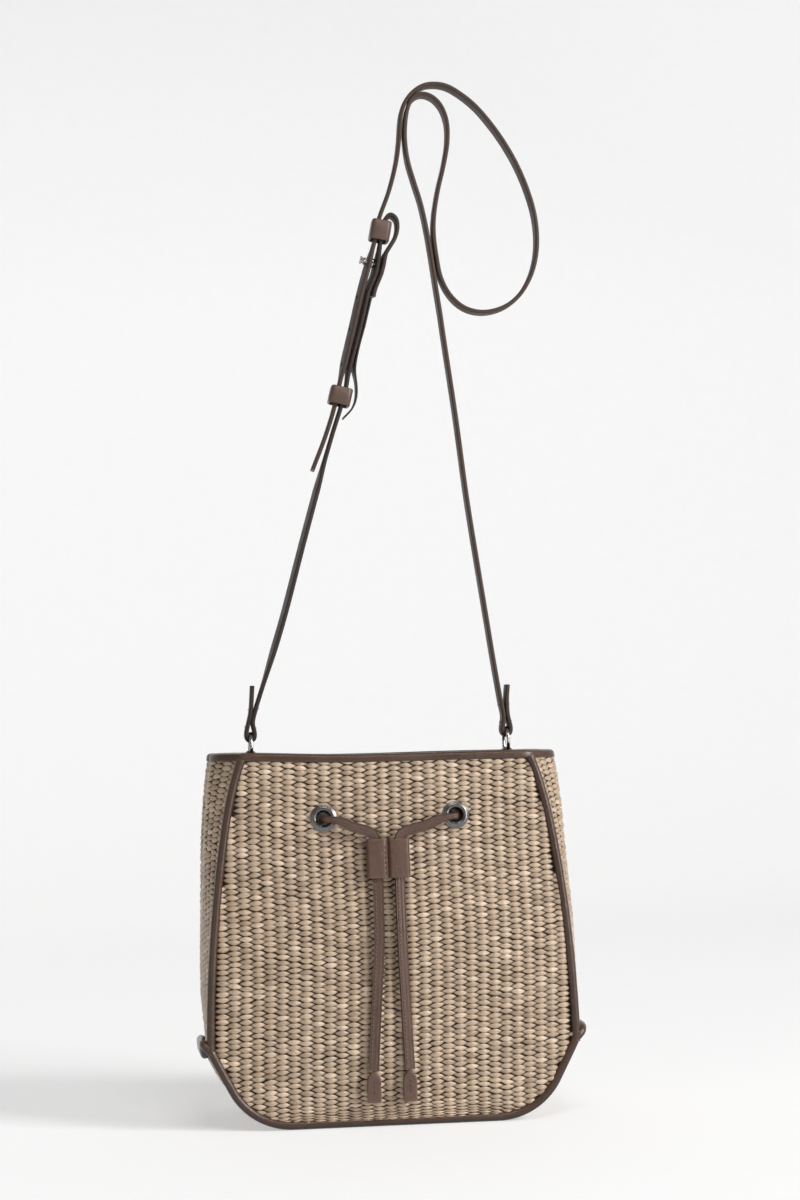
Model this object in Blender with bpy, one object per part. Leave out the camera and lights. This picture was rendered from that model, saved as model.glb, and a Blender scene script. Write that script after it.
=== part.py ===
"""A small bucket bag: woven raffia panels with leather piping and rim binding, a drawstring through four
eyelets with a double-loop slider, and a crossbody strap on two rings, held by two keepers and a stud.

The frame is +Z up, the front faces -Y, and the origin is the middle of the base's underside.
Lengths below are in millimetres, and mesh_object turns them into metres.
"""

import math

import bmesh
import bpy
import numpy as np
from mathutils import Matrix, Vector

MM = 0.001
GAP = 0.3  # between pieces that touch

# The bag's outline
RIM_Z = 219.0
SEAM_FOOT_Z = 45.0
SEAM_FOOT_HALF_WIDTH = 108.5
SEAM_TAPER = 19.0
SEAM_TAPER_TOP = 4.5
GUSSET_HALF_WIDTH = 112.6
GUSSET_TAPER = 9.0
GUSSET_FOOT_Z = 52.0
BASE_HALF_DEPTH = 48.0
DEPTH_TAPER = 10.0
PANEL_BULGE = 8.0
RIM_BULGE = 2.0

# The inward fold at the top of each gusset
FOLD_START_Z = 105.0
FOLD_FULL_Z = 200.0
FOLD_VALLEY = 2.8
CREST_RADIUS = 10.0
VALLEY_RADIUS = 4.0

# The base: flat, then an arc, then a straight flank that ends in the ears
FLAT_HALF_WIDTH = 61.0
OUTLINE_Z = 2.6
CORNER_RADIUS = 40.0
FLANK_ANGLE = math.radians(62.0)
EAR_Z = 47.0
BASE_END_Z = 50.0
BASE_DROP_FLAT = 2.6
BASE_DROP_END = 1.2
SIDE_PIPING_Z = 52.8
SIDE_PIPING_HALF_WIDTH = 114.8

# Sheet thicknesses
RAFFIA = 2.0
LINING = 0.6
LINING_INSET = RAFFIA + 2 * GAP
LINING_SLACK = 0.5  # where the folds' faces twist
BOARD = 1.5

# Leather trim
BINDING_FOOT_Z = 214.0
BINDING_WALL = 0.8
PANEL_TOP_Z = 216.0
SEAM_PIPING_RADIUS = 2.4
BASE_PIPING_RADIUS = 2.2
SEAM_PIPING_FOOT_Z = 54.6
SEAM_PIPING_TOP_Z = 213.0

# Eyelets
EYELET_X = 39.5
EYELET_Z = 181.0
EYELET_HOLE = 4.25
EYELET_BARREL = 5.0
EYELET_FLANGE = 8.0
WASHER_RADIUS = 7.6

# Rings, tabs and the strap's hinge
RING_X = 79.0
RING_Z = 224.0
RING_RADIUS = 8.5
RING_WIRE = 1.1
TAB_WIDTH = 8.0
STRAP_WIDTH = 10.0
STRAP_THICKNESS = 2.2
KEEPER_WALL = 1.5
STRIP_THICKNESS = 1.2
HOLE_RADIUS = 1.6
HOLE_SPACING = 22.0
HOLE_COUNT = 5

# Drawstring
STRING_WIDTH = 6.3
STRING_THICKNESS = 2.2
SLIDER_CENTRE = (-2.5, -54.9, 157.0)
SLIDER_SIZE = (25.6, 8.0, 22.9)
SLIDER_WALL = 1.4
SLIDER_LEAN = 0.09
TIP_SIZE = (8.3, 4.2, 18.4)

# The long strap, from its tip up through both keepers, over the top, round the hanging loop and down to the
# right ring, as (x, z) in the plane y = 0
STRAP_LONG_ROUTE = (
    (-37.6, 393.4), (-29.3, 414.0), (-23.6, 431.0), (-21.4, 439.5), (-19.1, 449.0), (-14.7, 467.0),
    (-10.3, 484.0), (-5.3, 504.0), (0.3, 523.3), (4.4, 536.8), (5.6, 542.7), (7.3, 550.2), (13.8, 567.4),
    (18.6, 585.0), (20.9, 600.0), (21.8, 610.7), (22.9, 617.4), (25.6, 624.4), (30.6, 630.4), (37.2, 634.4),
    (44.2, 635.4), (52.0, 634.0), (60.6, 629.0), (69.6, 621.5), (79.0, 610.4), (87.7, 597.7), (95.4, 583.3),
    (101.4, 568.0), (105.2, 553.5), (106.5, 539.5), (105.4, 526.0), (101.4, 513.2), (94.4, 502.2),
    (84.4, 494.6), (71.6, 491.4), (60.2, 493.8), (51.4, 501.0), (45.4, 512.0), (42.6, 526.4), (41.2, 541.8),
    (42.0, 554.0), (44.8, 569.0), (48.7, 584.3), (51.4, 599.6), (51.0, 612.6), (47.4, 622.0), (41.9, 627.4),
    (35.6, 629.0), (30.1, 626.3), (26.8, 619.8), (25.0, 610.0), (24.6, 600.0), (26.0, 587.0), (29.5, 573.7),
    (33.4, 560.3), (36.5, 545.0), (39.0, 528.6), (41.6, 508.8), (44.3, 489.0), (46.2, 473.5), (52.4, 424.7),
    (57.9, 375.4), (63.3, 335.7), (68.4, 299.6), (71.8, 275.5), (74.0, 260.8), (75.9, 248.5), (77.4, 240.0),
    (77.0, 235.2), (76.5, 232.8), (76.6, 230.2), (77.4, 228.6), (79.0, 228.0), (80.6, 228.6), (81.4, 230.2),
    (81.5, 232.8), (81.0, 235.4), (80.0, 240.0), (79.6, 249.5), (80.4, 259.0),
)
# The short strap, from its stitched end round the left ring, up through the upper keeper and folded back
STRAP_SHORT_ROUTE = (
    (-77.4, 261.5), (-77.9, 254.0), (-78.6, 246.0), (-80.1, 239.0), (-81.0, 235.4), (-81.5, 232.8),
    (-81.4, 230.2), (-80.6, 228.6), (-79.0, 228.0), (-77.4, 228.6), (-76.6, 230.2), (-76.5, 232.8),
    (-77.0, 235.2), (-77.5, 239.0), (-75.6, 247.0), (-71.5, 259.5), (-66.8, 273.7), (-57.4, 303.2),
    (-45.4, 346.0), (-34.6, 383.5), (-30.2, 398.4), (-23.8, 418.6), (-19.7, 430.8), (-14.0, 449.9),
    (-9.6, 464.5), (-4.8, 481.4), (-0.8, 497.2), (2.2, 509.7), (4.3, 518.7), (6.0, 526.0), (7.2, 532.0),
    (8.3, 538.0), (9.4, 544.0), (11.0, 549.6), (14.2, 552.6), (17.6, 550.4), (18.6, 545.2), (17.2, 538.8),
    (13.9, 533.2), (10.6, 527.9), (8.3, 520.4), (6.1, 512.0), (3.9, 501.3),
)
# The strip on the short strap that holds the lower keeper
KEEPER_STRIP_ROUTE = (
    (0.2, 492.4), (-2.4, 482.4), (-6.0, 470.0), (-8.8, 456.8), (-9.0, 447.5), (-9.8, 437.4), (-12.2, 431.6),
    (-17.8, 425.6),
)
# The tab that holds the right ring, from its stitched inner end over the ring's wire and down again
TAB_ROUTE = (
    (83.6, 202.0), (80.2, 207.8), (77.3, 211.8), (76.4, 214.6), (76.4, 217.2), (77.3, 218.9), (79.1, 219.5),
    (80.9, 219.0), (81.9, 217.2), (82.0, 214.6), (83.2, 210.8), (86.2, 204.6),
)
KEEPER_UPPER = {"at": (7.9, 542.7), "lean": 11.0, "width": 12.4, "height": 12.6}
KEEPER_LOWER = {"at": (-19.4, 439.3), "lean": 14.0, "width": 13.6, "height": 11.0}
STUD_AT = (0.3, 523.3)
STUD_LEAN = 16.0

# The drawstring's front run on the left side, from its twisting point at the eyelet to its tip
STRING_LEFT_ROUTE = (
    (-36.9, -52.2, 180.7), (-33.4, -53.2, 180.2), (-29.0, -54.0, 178.8), (-24.0, -54.4, 176.4),
    (-18.4, -54.2, 174.4), (-13.2, -53.9, 172.6), (-10.2, -53.9, 169.8), (-9.3, -54.3, 164.0),
    (-9.1, -54.9, 157.0), (-9.0, -56.0, 145.0), (-9.0, -57.5, 128.0), (-9.1, -58.7, 114.5),
    (-9.8, -59.0, 100.0), (-11.4, -58.8, 76.0), (-13.1, -58.3, 52.0), (-14.2, -58.0, 33.8),
)
STRING_RIGHT_ROUTE = (
    (36.9, -52.2, 180.7), (32.6, -53.2, 180.0), (27.0, -54.0, 178.4), (21.0, -54.4, 175.8),
    (14.0, -54.2, 174.2), (8.6, -53.9, 172.6), (5.2, -53.9, 169.8), (4.3, -54.3, 164.0),
    (4.1, -54.9, 157.0), (4.0, -56.0, 145.0), (4.0, -57.5, 128.0), (4.1, -58.7, 114.5), (4.5, -59.0, 100.0),
    (5.4, -58.8, 76.0), (6.3, -58.3, 52.0), (7.0, -58.0, 33.8),
)
# Half of the run behind: from the same point into the front eyelet, through the mouth and across the back
STRING_BACK_HALF = (
    (38.1, -52.0, 180.8), (39.1, -50.8, 180.9), (39.4, -48.5, 181.0), (39.5, -45.0, 181.0),
    (39.5, -30.0, 180.6), (39.5, 0.0, 180.0), (39.5, 30.0, 180.6), (39.5, 45.0, 181.0), (39.4, 48.5, 181.0),
    (38.2, 51.6, 180.8), (34.0, 53.0, 180.0), (22.0, 52.2, 177.2), (10.0, 51.4, 175.4), (0.0, 51.2, 175.0),
)

RAFFIA_BROWN = (0.42, 0.34, 0.23)
LEATHER_BROWN = (0.12, 0.075, 0.052)
DARK_LEATHER = (0.075, 0.045, 0.032)
LINING_BROWN = (0.10, 0.072, 0.054)
BOARD_GREY = (0.25, 0.23, 0.20)
GUNMETAL = (0.16, 0.15, 0.14)
STEEL = (0.42, 0.41, 0.39)


# ---- meshes ----

def clear_scene():
    for obj in list(bpy.data.objects):
        bpy.data.objects.remove(obj)


def material(name, colour, roughness, metallic=0.0):
    made = bpy.data.materials.new(name)
    made.use_nodes = True
    shader = made.node_tree.nodes["Principled BSDF"]
    shader.inputs["Base Color"].default_value = (*colour, 1.0)
    shader.inputs["Roughness"].default_value = roughness
    shader.inputs["Metallic"].default_value = metallic
    return made


def mesh_object(name, points, faces, finish, sharp_degrees=35.0):
    """One closed or open mesh from points in millimetres."""
    bm = bmesh.new()
    verts = [bm.verts.new(Vector(p) * MM) for p in points]
    for face in faces:
        bm.faces.new([verts[i] for i in face])
    bmesh.ops.recalc_face_normals(bm, faces=bm.faces)
    mesh = bpy.data.meshes.new(name)
    bm.to_mesh(mesh)
    bm.free()
    mesh.shade_smooth()
    mesh.set_sharp_from_angle(angle=math.radians(sharp_degrees))
    mesh.materials.append(material(name, *finish))
    obj = bpy.data.objects.new(name, mesh)
    bpy.context.scene.collection.objects.link(obj)
    return obj


def band_faces(rows, columns, rows_closed, columns_closed):
    """Quads between neighbouring rows of a grid of points."""
    faces = []
    for i in range(rows if rows_closed else rows - 1):
        for j in range(columns if columns_closed else columns - 1):
            k, m = (i + 1) % rows, (j + 1) % columns
            faces.append((i * columns + j, i * columns + m, k * columns + m, k * columns + j))
    return faces


def swept(name, sections, finish, closed=False, sharp_degrees=35.0):
    """A solid through sections of the same number of points, capped unless it closes on itself."""
    size = len(sections[0])
    faces = band_faces(len(sections), size, closed, True)
    if not closed:
        faces.append(tuple(range(size)))
        faces.append(tuple((len(sections) - 1) * size + i for i in range(size)))
    points = [p for section in sections for p in section]
    return mesh_object(name, points, faces, finish, sharp_degrees)


def turned(name, profile, steps, finish, place, sharp_degrees=35.0):
    """A ring-shaped solid: a closed profile of (radius, height) turned about its own Z axis, then placed."""
    sections = []
    for i in range(steps):
        a = math.tau * i / steps
        sections.append([place @ Vector((r * math.cos(a), r * math.sin(a), h)) for r, h in profile])
    return swept(name, sections, finish, closed=True, sharp_degrees=sharp_degrees)


def turned_solid(name, profile, steps, finish, place):
    """A solid of revolution whose profile of (radius, height) starts and ends on the axis."""
    points = [place @ Vector((0.0, 0.0, profile[0][1]))]
    inner = profile[1:-1]
    for r, h in inner:
        for i in range(steps):
            a = math.tau * i / steps
            points.append(place @ Vector((r * math.cos(a), r * math.sin(a), h)))
    points.append(place @ Vector((0.0, 0.0, profile[-1][1])))
    last = len(points) - 1
    faces = [(0, 1 + i, 1 + (i + 1) % steps) for i in range(steps)]
    for k in range(len(inner) - 1):
        for i in range(steps):
            a, b = 1 + k * steps + i, 1 + k * steps + (i + 1) % steps
            faces.append((a, a + steps, b + steps, b))
    start = 1 + (len(inner) - 1) * steps
    faces += [(last, start + (i + 1) % steps, start + i) for i in range(steps)]
    return mesh_object(name, points, faces, finish)


def sheet(name, grid, thickness, finish):
    """A shell from a grid of points on its outer surface, thickened inwards."""
    columns = len(grid[0])
    points = [p for row in grid for p in row]
    faces = band_faces(len(grid), columns, False, False)
    obj = mesh_object(name, points, faces, finish)
    thicken(obj, thickness)
    return obj


def thicken(obj, thickness):
    """Thickens towards the bag's middle, whichever way the open mesh's faces came out."""
    mesh = obj.data
    inside = Vector((0.0, 0.0, 110.0 * MM))
    facing = sum(p.normal.dot(p.center - inside) * p.area for p in mesh.polygons)
    shell = obj.modifiers.new("thickness", "SOLIDIFY")
    shell.thickness = thickness * MM
    shell.offset = -1.0 if facing > 0 else 1.0
    shell.use_even_offset = True


def cut(obj, cutter):
    hole = obj.modifiers.new("hole", "BOOLEAN")
    hole.operation = "DIFFERENCE"
    hole.object = cutter
    hole.solver = "EXACT"
    cutter.hide_render = True
    cutter.display_type = "WIRE"


# ---- routes ----

def smooth_route(points, most_turn=14.0, most_step=16.0):
    """A smooth curve through the points, then a point wherever it has turned or run on enough."""
    p = np.array(points, float)
    p = np.vstack([2 * p[0] - p[1], p, 2 * p[-1] - p[-2]])
    dense = []
    for i in range(1, len(p) - 2):
        knots = np.cumsum([0.0] + [math.sqrt(np.linalg.norm(p[i + k] - p[i + k - 1])) for k in (0, 1, 2)])
        for t in np.linspace(knots[1], knots[2], 12, endpoint=False):
            dense.append(catmull_rom(p[i - 1:i + 3], knots, t))
    dense.append(p[-2])
    kept = [dense[0]]
    turn = run = 0.0
    for before, here, after in zip(dense, dense[1:], dense[2:]):
        first, second = here - before, after - here
        run += np.linalg.norm(first)
        cosine = first @ second / (np.linalg.norm(first) * np.linalg.norm(second))
        turn += math.degrees(math.acos(min(1.0, cosine)))
        if turn >= most_turn or run >= most_step:
            kept.append(here)
            turn = run = 0.0
    if run < 0.3 * most_step and turn < 0.3 * most_turn and len(kept) > 1:
        kept.pop()
    kept.append(dense[-1])
    return np.array(kept)


def catmull_rom(p, k, t):
    a1 = (k[1] - t) / (k[1] - k[0]) * p[0] + (t - k[0]) / (k[1] - k[0]) * p[1]
    a2 = (k[2] - t) / (k[2] - k[1]) * p[1] + (t - k[1]) / (k[2] - k[1]) * p[2]
    a3 = (k[3] - t) / (k[3] - k[2]) * p[2] + (t - k[2]) / (k[3] - k[2]) * p[3]
    b1 = (k[2] - t) / (k[2] - k[0]) * a1 + (t - k[0]) / (k[2] - k[0]) * a2
    b2 = (k[3] - t) / (k[3] - k[1]) * a2 + (t - k[1]) / (k[3] - k[1]) * a3
    return (k[2] - t) / (k[2] - k[1]) * b1 + (t - k[1]) / (k[2] - k[1]) * b2


def tangents(path, closed=False):
    if closed:
        ahead, behind = np.roll(path, -1, axis=0), np.roll(path, 1, axis=0)
    else:
        ahead, behind = np.vstack([path[1:], path[-1:]]), np.vstack([path[:1], path[:-1]])
    along = ahead - behind
    return along / np.linalg.norm(along, axis=1, keepdims=True)


def carried_normals(path, first, closed=False):
    """A normal at each point, turned from the last one by as little as the route allows."""
    along = tangents(path, closed)
    normals = []
    normal = np.array(first, float)
    for t in along:
        normal = normal - normal @ t * t
        normal = normal / np.linalg.norm(normal)
        normals.append(normal)
    return along, np.array(normals)


def flat_strap(name, route, width, thickness, finish):
    """A flat strap in the plane y = 0, with its width along Y, from a route of (x, z)."""
    path = smooth_route([(x, 0.0, z) for x, z in route])
    sections = []
    for p, t in zip(path, tangents(path)):
        across = np.array((t[2], 0.0, -t[0])) * thickness / 2
        side = np.array((0.0, width / 2, 0.0))
        sections.append([p + across - side, p + across + side, p - across + side, p - across - side])
    return swept(name, sections, finish)


def flat_string(name, route, first_normal, finish):
    """A flat string along a route in space, facing first_normal at its start."""
    path = smooth_route(route, 16.0, 18.0)
    along, normals = carried_normals(path, first_normal)
    sections = []
    for p, t, n in zip(path, along, normals):
        side = np.cross(t, n) * STRING_WIDTH / 2
        face = n * STRING_THICKNESS / 2
        sections.append([p + face - side, p + face + side, p - face + side, p - face - side])
    return swept(name, sections, finish)


def round_tube(name, path, radius, finish, closed=False, sides=8):
    path = np.array(path, float)
    along, normals = carried_normals(path, (0.0, 0.0, 1.0) if closed else (0.0, 1.0, 0.0), closed)
    sections = []
    for p, t, n in zip(path, along, normals):
        side = np.cross(t, n)
        ring = []
        for k in range(sides):
            a = math.tau * k / sides
            ring.append(p + radius * (math.cos(a) * n + math.sin(a) * side))
        sections.append(ring)
    return swept(name, sections, finish, closed=closed, sharp_degrees=60.0)


# ---- the bag's surface ----

def seam_half_width(z):
    share = (z - SEAM_FOOT_Z) / (RIM_Z - SEAM_FOOT_Z)
    return SEAM_FOOT_HALF_WIDTH - SEAM_TAPER * share ** 1.9 - SEAM_TAPER_TOP * share ** 10


def gusset_half_width(z):
    share = (z - GUSSET_FOOT_Z) / (RIM_Z - GUSSET_FOOT_Z)
    return GUSSET_HALF_WIDTH - GUSSET_TAPER * share ** 3


def flank_half_width(z, inset=0.0):
    """Half-width of the outline below the ears, where it is set in from the base piping's line."""
    radius = CORNER_RADIUS - inset
    centre_z = OUTLINE_Z + CORNER_RADIUS
    tangent_z = centre_z - radius * math.cos(FLANK_ANGLE)
    if z <= tangent_z:
        return FLAT_HALF_WIDTH + math.sqrt(max(0.0, radius ** 2 - (centre_z - z) ** 2))
    return FLAT_HALF_WIDTH + radius * math.sin(FLANK_ANGLE) + (z - tangent_z) / math.tan(FLANK_ANGLE)


def half_width(z):
    return min(seam_half_width(max(z, SEAM_FOOT_Z)), flank_half_width(z))


def seam_half_depth(z):
    return BASE_HALF_DEPTH - DEPTH_TAPER * (z / RIM_Z) ** 2


def panel_half_depth(x, z):
    """Distance from the middle plane to the front or back panel's outer face."""
    share = z / RIM_Z
    swell = PANEL_BULGE * max(0.0, math.sin(math.pi * share ** 0.75)) ** 0.8 + RIM_BULGE * share
    return seam_half_depth(z) + swell * (1 - min(1.0, abs(x) / half_width(z)) ** 2)


def smooth_step(value):
    value = min(1.0, max(0.0, value))
    return value * value * (3 - 2 * value)


def gusset_x(y, z):
    """The gusset's outer face: a plain bulge below that becomes an inward fold near the rim."""
    foot, crest = seam_half_width(z), gusset_half_width(z)
    depth = seam_half_depth(z)
    plain = foot + (crest - foot) * (1 - (y / depth) ** 2)
    crest_y = depth / 2
    valley = foot + FOLD_VALLEY

    def drop(distance):
        return math.hypot(distance, CREST_RADIUS) - CREST_RADIUS

    softened = math.hypot(y, VALLEY_RADIUS)
    if softened < crest_y:
        folded = crest - (crest - valley) * drop(crest_y - softened) / drop(crest_y - VALLEY_RADIUS)
    else:
        outer = math.hypot(depth, VALLEY_RADIUS)
        folded = crest - (crest - foot) * drop(softened - crest_y) / drop(outer - crest_y)
    share = smooth_step((z - FOLD_START_Z) / (FOLD_FULL_Z - FOLD_START_Z))
    return plain + (folded - plain) * share


FRONT_SHARES = (-1.0, -0.82, -0.62, -0.41, -0.2, 0.0, 0.2, 0.41, 0.62, 0.82, 1.0)
FOLD_LEVELS = (125.0, 145.0, 163.0, EYELET_Z, 198.0, 208.0, PANEL_TOP_Z)
SIDE_SHARES = (-1.0, -0.85, -0.71, -0.6, -0.5, -0.4, -0.3, -0.19, -0.09, 0.0,
               0.09, 0.19, 0.3, 0.4, 0.5, 0.6, 0.71, 0.85, 1.0)


def body_ring(z, offset):
    """The bag's horizontal outline at one height, as (x, y) going round, moved out by offset."""
    width, depth = half_width(z), seam_half_depth(z)
    front = [(u * width, -panel_half_depth(u * width, z)) for u in FRONT_SHARES[:-1]]
    side = []
    for t in SIDE_SHARES[:-1]:
        y = t * depth
        side.append((gusset_x(y, z) if z > SEAM_FOOT_Z else width, y))
    quarter = np.array(front + side)
    ring = np.vstack([quarter, -quarter])
    return ring + offset * ring_normals(ring)


def ring_normals(ring):
    """Outward mitred normals of a closed outline that goes round anticlockwise."""
    ahead = np.roll(ring, -1, axis=0) - ring
    ahead = ahead / np.linalg.norm(ahead, axis=1, keepdims=True)
    behind = np.roll(ahead, 1, axis=0)
    middle = ahead + behind
    middle = middle / np.linalg.norm(middle, axis=1, keepdims=True)
    stretch = 1 / np.maximum(0.6, (middle * ahead).sum(axis=1))
    return np.column_stack([middle[:, 1], -middle[:, 0]]) * stretch[:, None]


# ---- panels, base and lining ----

def main_panel(name, side):
    """The front panel (side -1) or the back panel (side +1)."""
    inset = BASE_PIPING_RADIUS + GAP
    radius = CORNER_RADIUS - inset
    rows = []
    for degrees in (0.0, 20.0, 40.0, 62.0):
        a = math.radians(degrees)
        z = OUTLINE_Z + CORNER_RADIUS - radius * math.cos(a)
        rows.append((z, FLAT_HALF_WIDTH + radius * math.sin(a)))
    for z in (46.6, 75.0, 105.0, 135.0, 160.0, EYELET_Z, 198.0, 208.0, PANEL_TOP_Z):
        seam = seam_half_width(z) - SEAM_PIPING_RADIUS - 0.4
        rows.append((z, min(seam, flank_half_width(z, inset))))
    grid = []
    for z, width in rows:
        row = []
        for u in FRONT_SHARES:
            x = max(-width, min(width, u * half_width(z)))
            row.append((x, side * panel_half_depth(x, z), z))
        grid.append(row)
    return sheet(name, grid, RAFFIA, (RAFFIA_BROWN, 0.75))


def gusset(name, side):
    """The left gusset (side -1) or the right gusset (side +1)."""
    grid = []
    for z in (55.6, 90.0) + FOLD_LEVELS:
        depth = seam_half_depth(z)
        reach = depth - SEAM_PIPING_RADIUS - 0.1
        row = []
        for t in SIDE_SHARES:
            y = max(-reach, min(reach, t * depth))
            row.append((side * gusset_x(y, z), y, z))
        grid.append(row)
    return sheet(name, grid, RAFFIA, (RAFFIA_BROWN, 0.75))


def base_outline():
    """The base's profile as (x, z, outward x, outward z, share of the way to the end), right half."""
    outline = [(x, OUTLINE_Z, 0.0, -1.0, 0.0) for x in (0.0, 21.0, 42.0)]
    centre_z = OUTLINE_Z + CORNER_RADIUS
    for degrees in (0.0, 13.0, 26.0, 38.0, 50.0, 62.0):
        a = math.radians(degrees)
        x, z = FLAT_HALF_WIDTH + CORNER_RADIUS * math.sin(a), centre_z - CORNER_RADIUS * math.cos(a)
        outline.append((x, z, math.sin(a), -math.cos(a), degrees / 62.0))
    for z in (36.0, BASE_END_Z):
        outline.append((flank_half_width(z), z, math.sin(FLANK_ANGLE), -math.cos(FLANK_ANGLE), 1.0))
    return outline


def base_panel():
    grid = []
    half = base_outline()
    mirrored = [(-x, z, -nx, nz, share) for x, z, nx, nz, share in half[:0:-1]]
    for x, z, nx, nz, share in mirrored + half:
        drop = BASE_DROP_FLAT + (BASE_DROP_END - BASE_DROP_FLAT) * share
        depth = seam_half_depth(z) - BASE_PIPING_RADIUS - GAP * (1 + 2 * share)
        row = []
        for t in (-1.0, -0.5, 0.0, 0.5, 1.0):
            bulge = 1.5 * (1 - t * t) * share ** 3
            row.append((x + nx * (drop + bulge), t * depth, z + nz * (drop + bulge * 0.2)))
        grid.append(row)
    return sheet("base_panel", grid, RAFFIA, (RAFFIA_BROWN, 0.75))


def base_board():
    """A stiff board between the base panel and the lining, with rounded corners."""
    half_x, half_y, corner = FLAT_HALF_WIDTH - 2.0, BASE_HALF_DEPTH - 6.0, 8.0
    outline = []
    for quarter in range(4):
        sx = 1 if quarter in (0, 3) else -1
        sy = 1 if quarter < 2 else -1
        for step in range(4):
            a = math.radians(90 * quarter + 30 * step)
            outline.append((sx * (half_x - corner) + corner * math.cos(a),
                            sy * (half_y - corner) + corner * math.sin(a)))
    low = RAFFIA + GAP
    sections = [[(x, y, z) for x, y in outline] for z in (low, low + BOARD)]
    return swept("base_board", sections, (BOARD_GREY, 0.9))


def lining():
    """An open-topped bag inside the panels, cut by the eyelets."""
    radius = CORNER_RADIUS - LINING_INSET
    centre_z = OUTLINE_Z + CORNER_RADIUS
    rings = []
    for degrees in (0.0, 28.0, 62.0):
        a = math.radians(degrees)
        z, width = centre_z - radius * math.cos(a), FLAT_HALF_WIDTH + radius * math.sin(a)
        rings.append((z, width))
    rows = []
    for z, width in rings:
        ring = body_ring(z, -LINING_INSET)
        scale = width / np.abs(ring[:, 0]).max()
        rows.append([(x * scale, y, z) for x, y in ring])
    for z in (57.0, 90.0) + FOLD_LEVELS:
        slack = LINING_SLACK if FOLD_LEVELS[0] < z < EYELET_Z else 0.0
        rows.append([(x, y, z) for x, y in body_ring(z, -LINING_INSET - slack)])
    size = len(rows[0])
    faces = band_faces(len(rows), size, False, True)
    faces.append(tuple(range(size)))
    obj = mesh_object("lining", [p for row in rows for p in row], faces, (LINING_BROWN, 0.8))
    thicken(obj, LINING)
    return obj


# ---- binding and piping ----

def rim_binding():
    """A leather band folded over the panels' and the lining's top edges: a channel open below."""
    outer, inner = GAP + BINDING_WALL, -(LINING_INSET + LINING + GAP + BINDING_WALL)
    roof = RIM_Z - BINDING_WALL - 0.2
    profile = (
        (outer, BINDING_FOOT_Z), (outer, RIM_Z - 1.4), (outer - 1.2, RIM_Z), (inner + 1.2, RIM_Z),
        (inner, RIM_Z - 1.4), (inner, BINDING_FOOT_Z), (inner + BINDING_WALL, BINDING_FOOT_Z),
        (inner + BINDING_WALL, roof), (outer - BINDING_WALL, roof), (outer - BINDING_WALL, BINDING_FOOT_Z),
    )
    rings = [[(x, y, z) for x, y in body_ring(z, offset)] for offset, z in profile]
    sections = [list(section) for section in zip(*rings)]
    return swept("rim_binding", sections, (LEATHER_BROWN, 0.4), closed=True)


def seam_piping(name, x_side, y_side):
    path = []
    for z in np.linspace(SEAM_PIPING_FOOT_Z, SEAM_PIPING_TOP_Z, 15):
        path.append((x_side * seam_half_width(z), y_side * seam_half_depth(z), z))
    return round_tube(name, path, SEAM_PIPING_RADIUS, (LEATHER_BROWN, 0.4))


def base_piping():
    """One loop: along the front's lower edge, up the flank to the ear, across the side, and so on round."""
    quarter = []
    for x, z, _, _, _ in base_outline()[:-2]:
        quarter.append((x, -seam_half_depth(z), z))
    for z in (34.0, EAR_Z):
        quarter.append((flank_half_width(z), -seam_half_depth(z), z))
    depth = seam_half_depth(EAR_Z)
    quarter += [(111.9, 0.8 - depth, 50.2), (113.1, 3.8 - depth, 52.2), (113.9, 9.0 - depth, SIDE_PIPING_Z)]
    quarter += [(114.4, -22.0, SIDE_PIPING_Z), (SIDE_PIPING_HALF_WIDTH, 0.0, SIDE_PIPING_Z)]
    to_back = [(x, -y, z) for x, y, z in quarter[-2::-1]]
    half = quarter + to_back
    path = half + [(-x, y, z) for x, y, z in half[-2:0:-1]]
    return round_tube("base_piping", path, BASE_PIPING_RADIUS, (LEATHER_BROWN, 0.4), closed=True)


# ---- eyelets ----

def eyelet_place(x_side, y_side):
    """A frame on the panel's outer face at an eyelet, whose Z axis points out of the bag."""
    x, z, step = EYELET_X, EYELET_Z, 2.0
    slope_x = (panel_half_depth(x + step, z) - panel_half_depth(x - step, z)) / (2 * step)
    slope_z = (panel_half_depth(x, z + step) - panel_half_depth(x, z - step)) / (2 * step)
    outward = Vector((-x_side * slope_x, y_side, -slope_z)).normalized()
    turn = Vector((0, 0, 1)).rotation_difference(outward).to_matrix().to_4x4()
    return Matrix.Translation((x_side * x, y_side * panel_half_depth(x, z), z)) @ turn


def eyelets(panels, lining_object):
    through = -(LINING_INSET + LINING)
    flange = (
        (EYELET_HOLE, 1.5), (5.0, 2.3), (6.6, 2.2), (7.7, 1.5), (EYELET_FLANGE, 0.8), (7.6, 0.4),
        (EYELET_BARREL, 0.4), (EYELET_BARREL, through - 1.8), (EYELET_HOLE, through - 1.8),
    )
    ring = ((EYELET_BARREL + GAP, through - 0.6), (WASHER_RADIUS, through - 0.6),
            (WASHER_RADIUS, through - 1.4), (EYELET_BARREL + GAP, through - 1.4))
    cutter_radius = EYELET_BARREL + GAP
    for y_name, y_side in (("front", -1), ("back", 1)):
        for x_name, x_side in (("left", -1), ("right", 1)):
            place = eyelet_place(x_side, y_side)
            label = f"{y_name}_{x_name}"
            turned(f"eyelet_{label}", flange, 16, (GUNMETAL, 0.3, 1.0), place)
            turned(f"eyelet_washer_{label}", ring, 16, (GUNMETAL, 0.35, 1.0), place)
            cutter = turned_solid(
                f"cut_{label}",
                ((0.0, -7.0), (cutter_radius, -7.0), (cutter_radius, 4.0), (0.0, 4.0)),
                16, (GUNMETAL, 0.3), place)
            cut(panels[y_side], cutter)
            cut(lining_object, cutter)


# ---- rings and tabs ----

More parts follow.
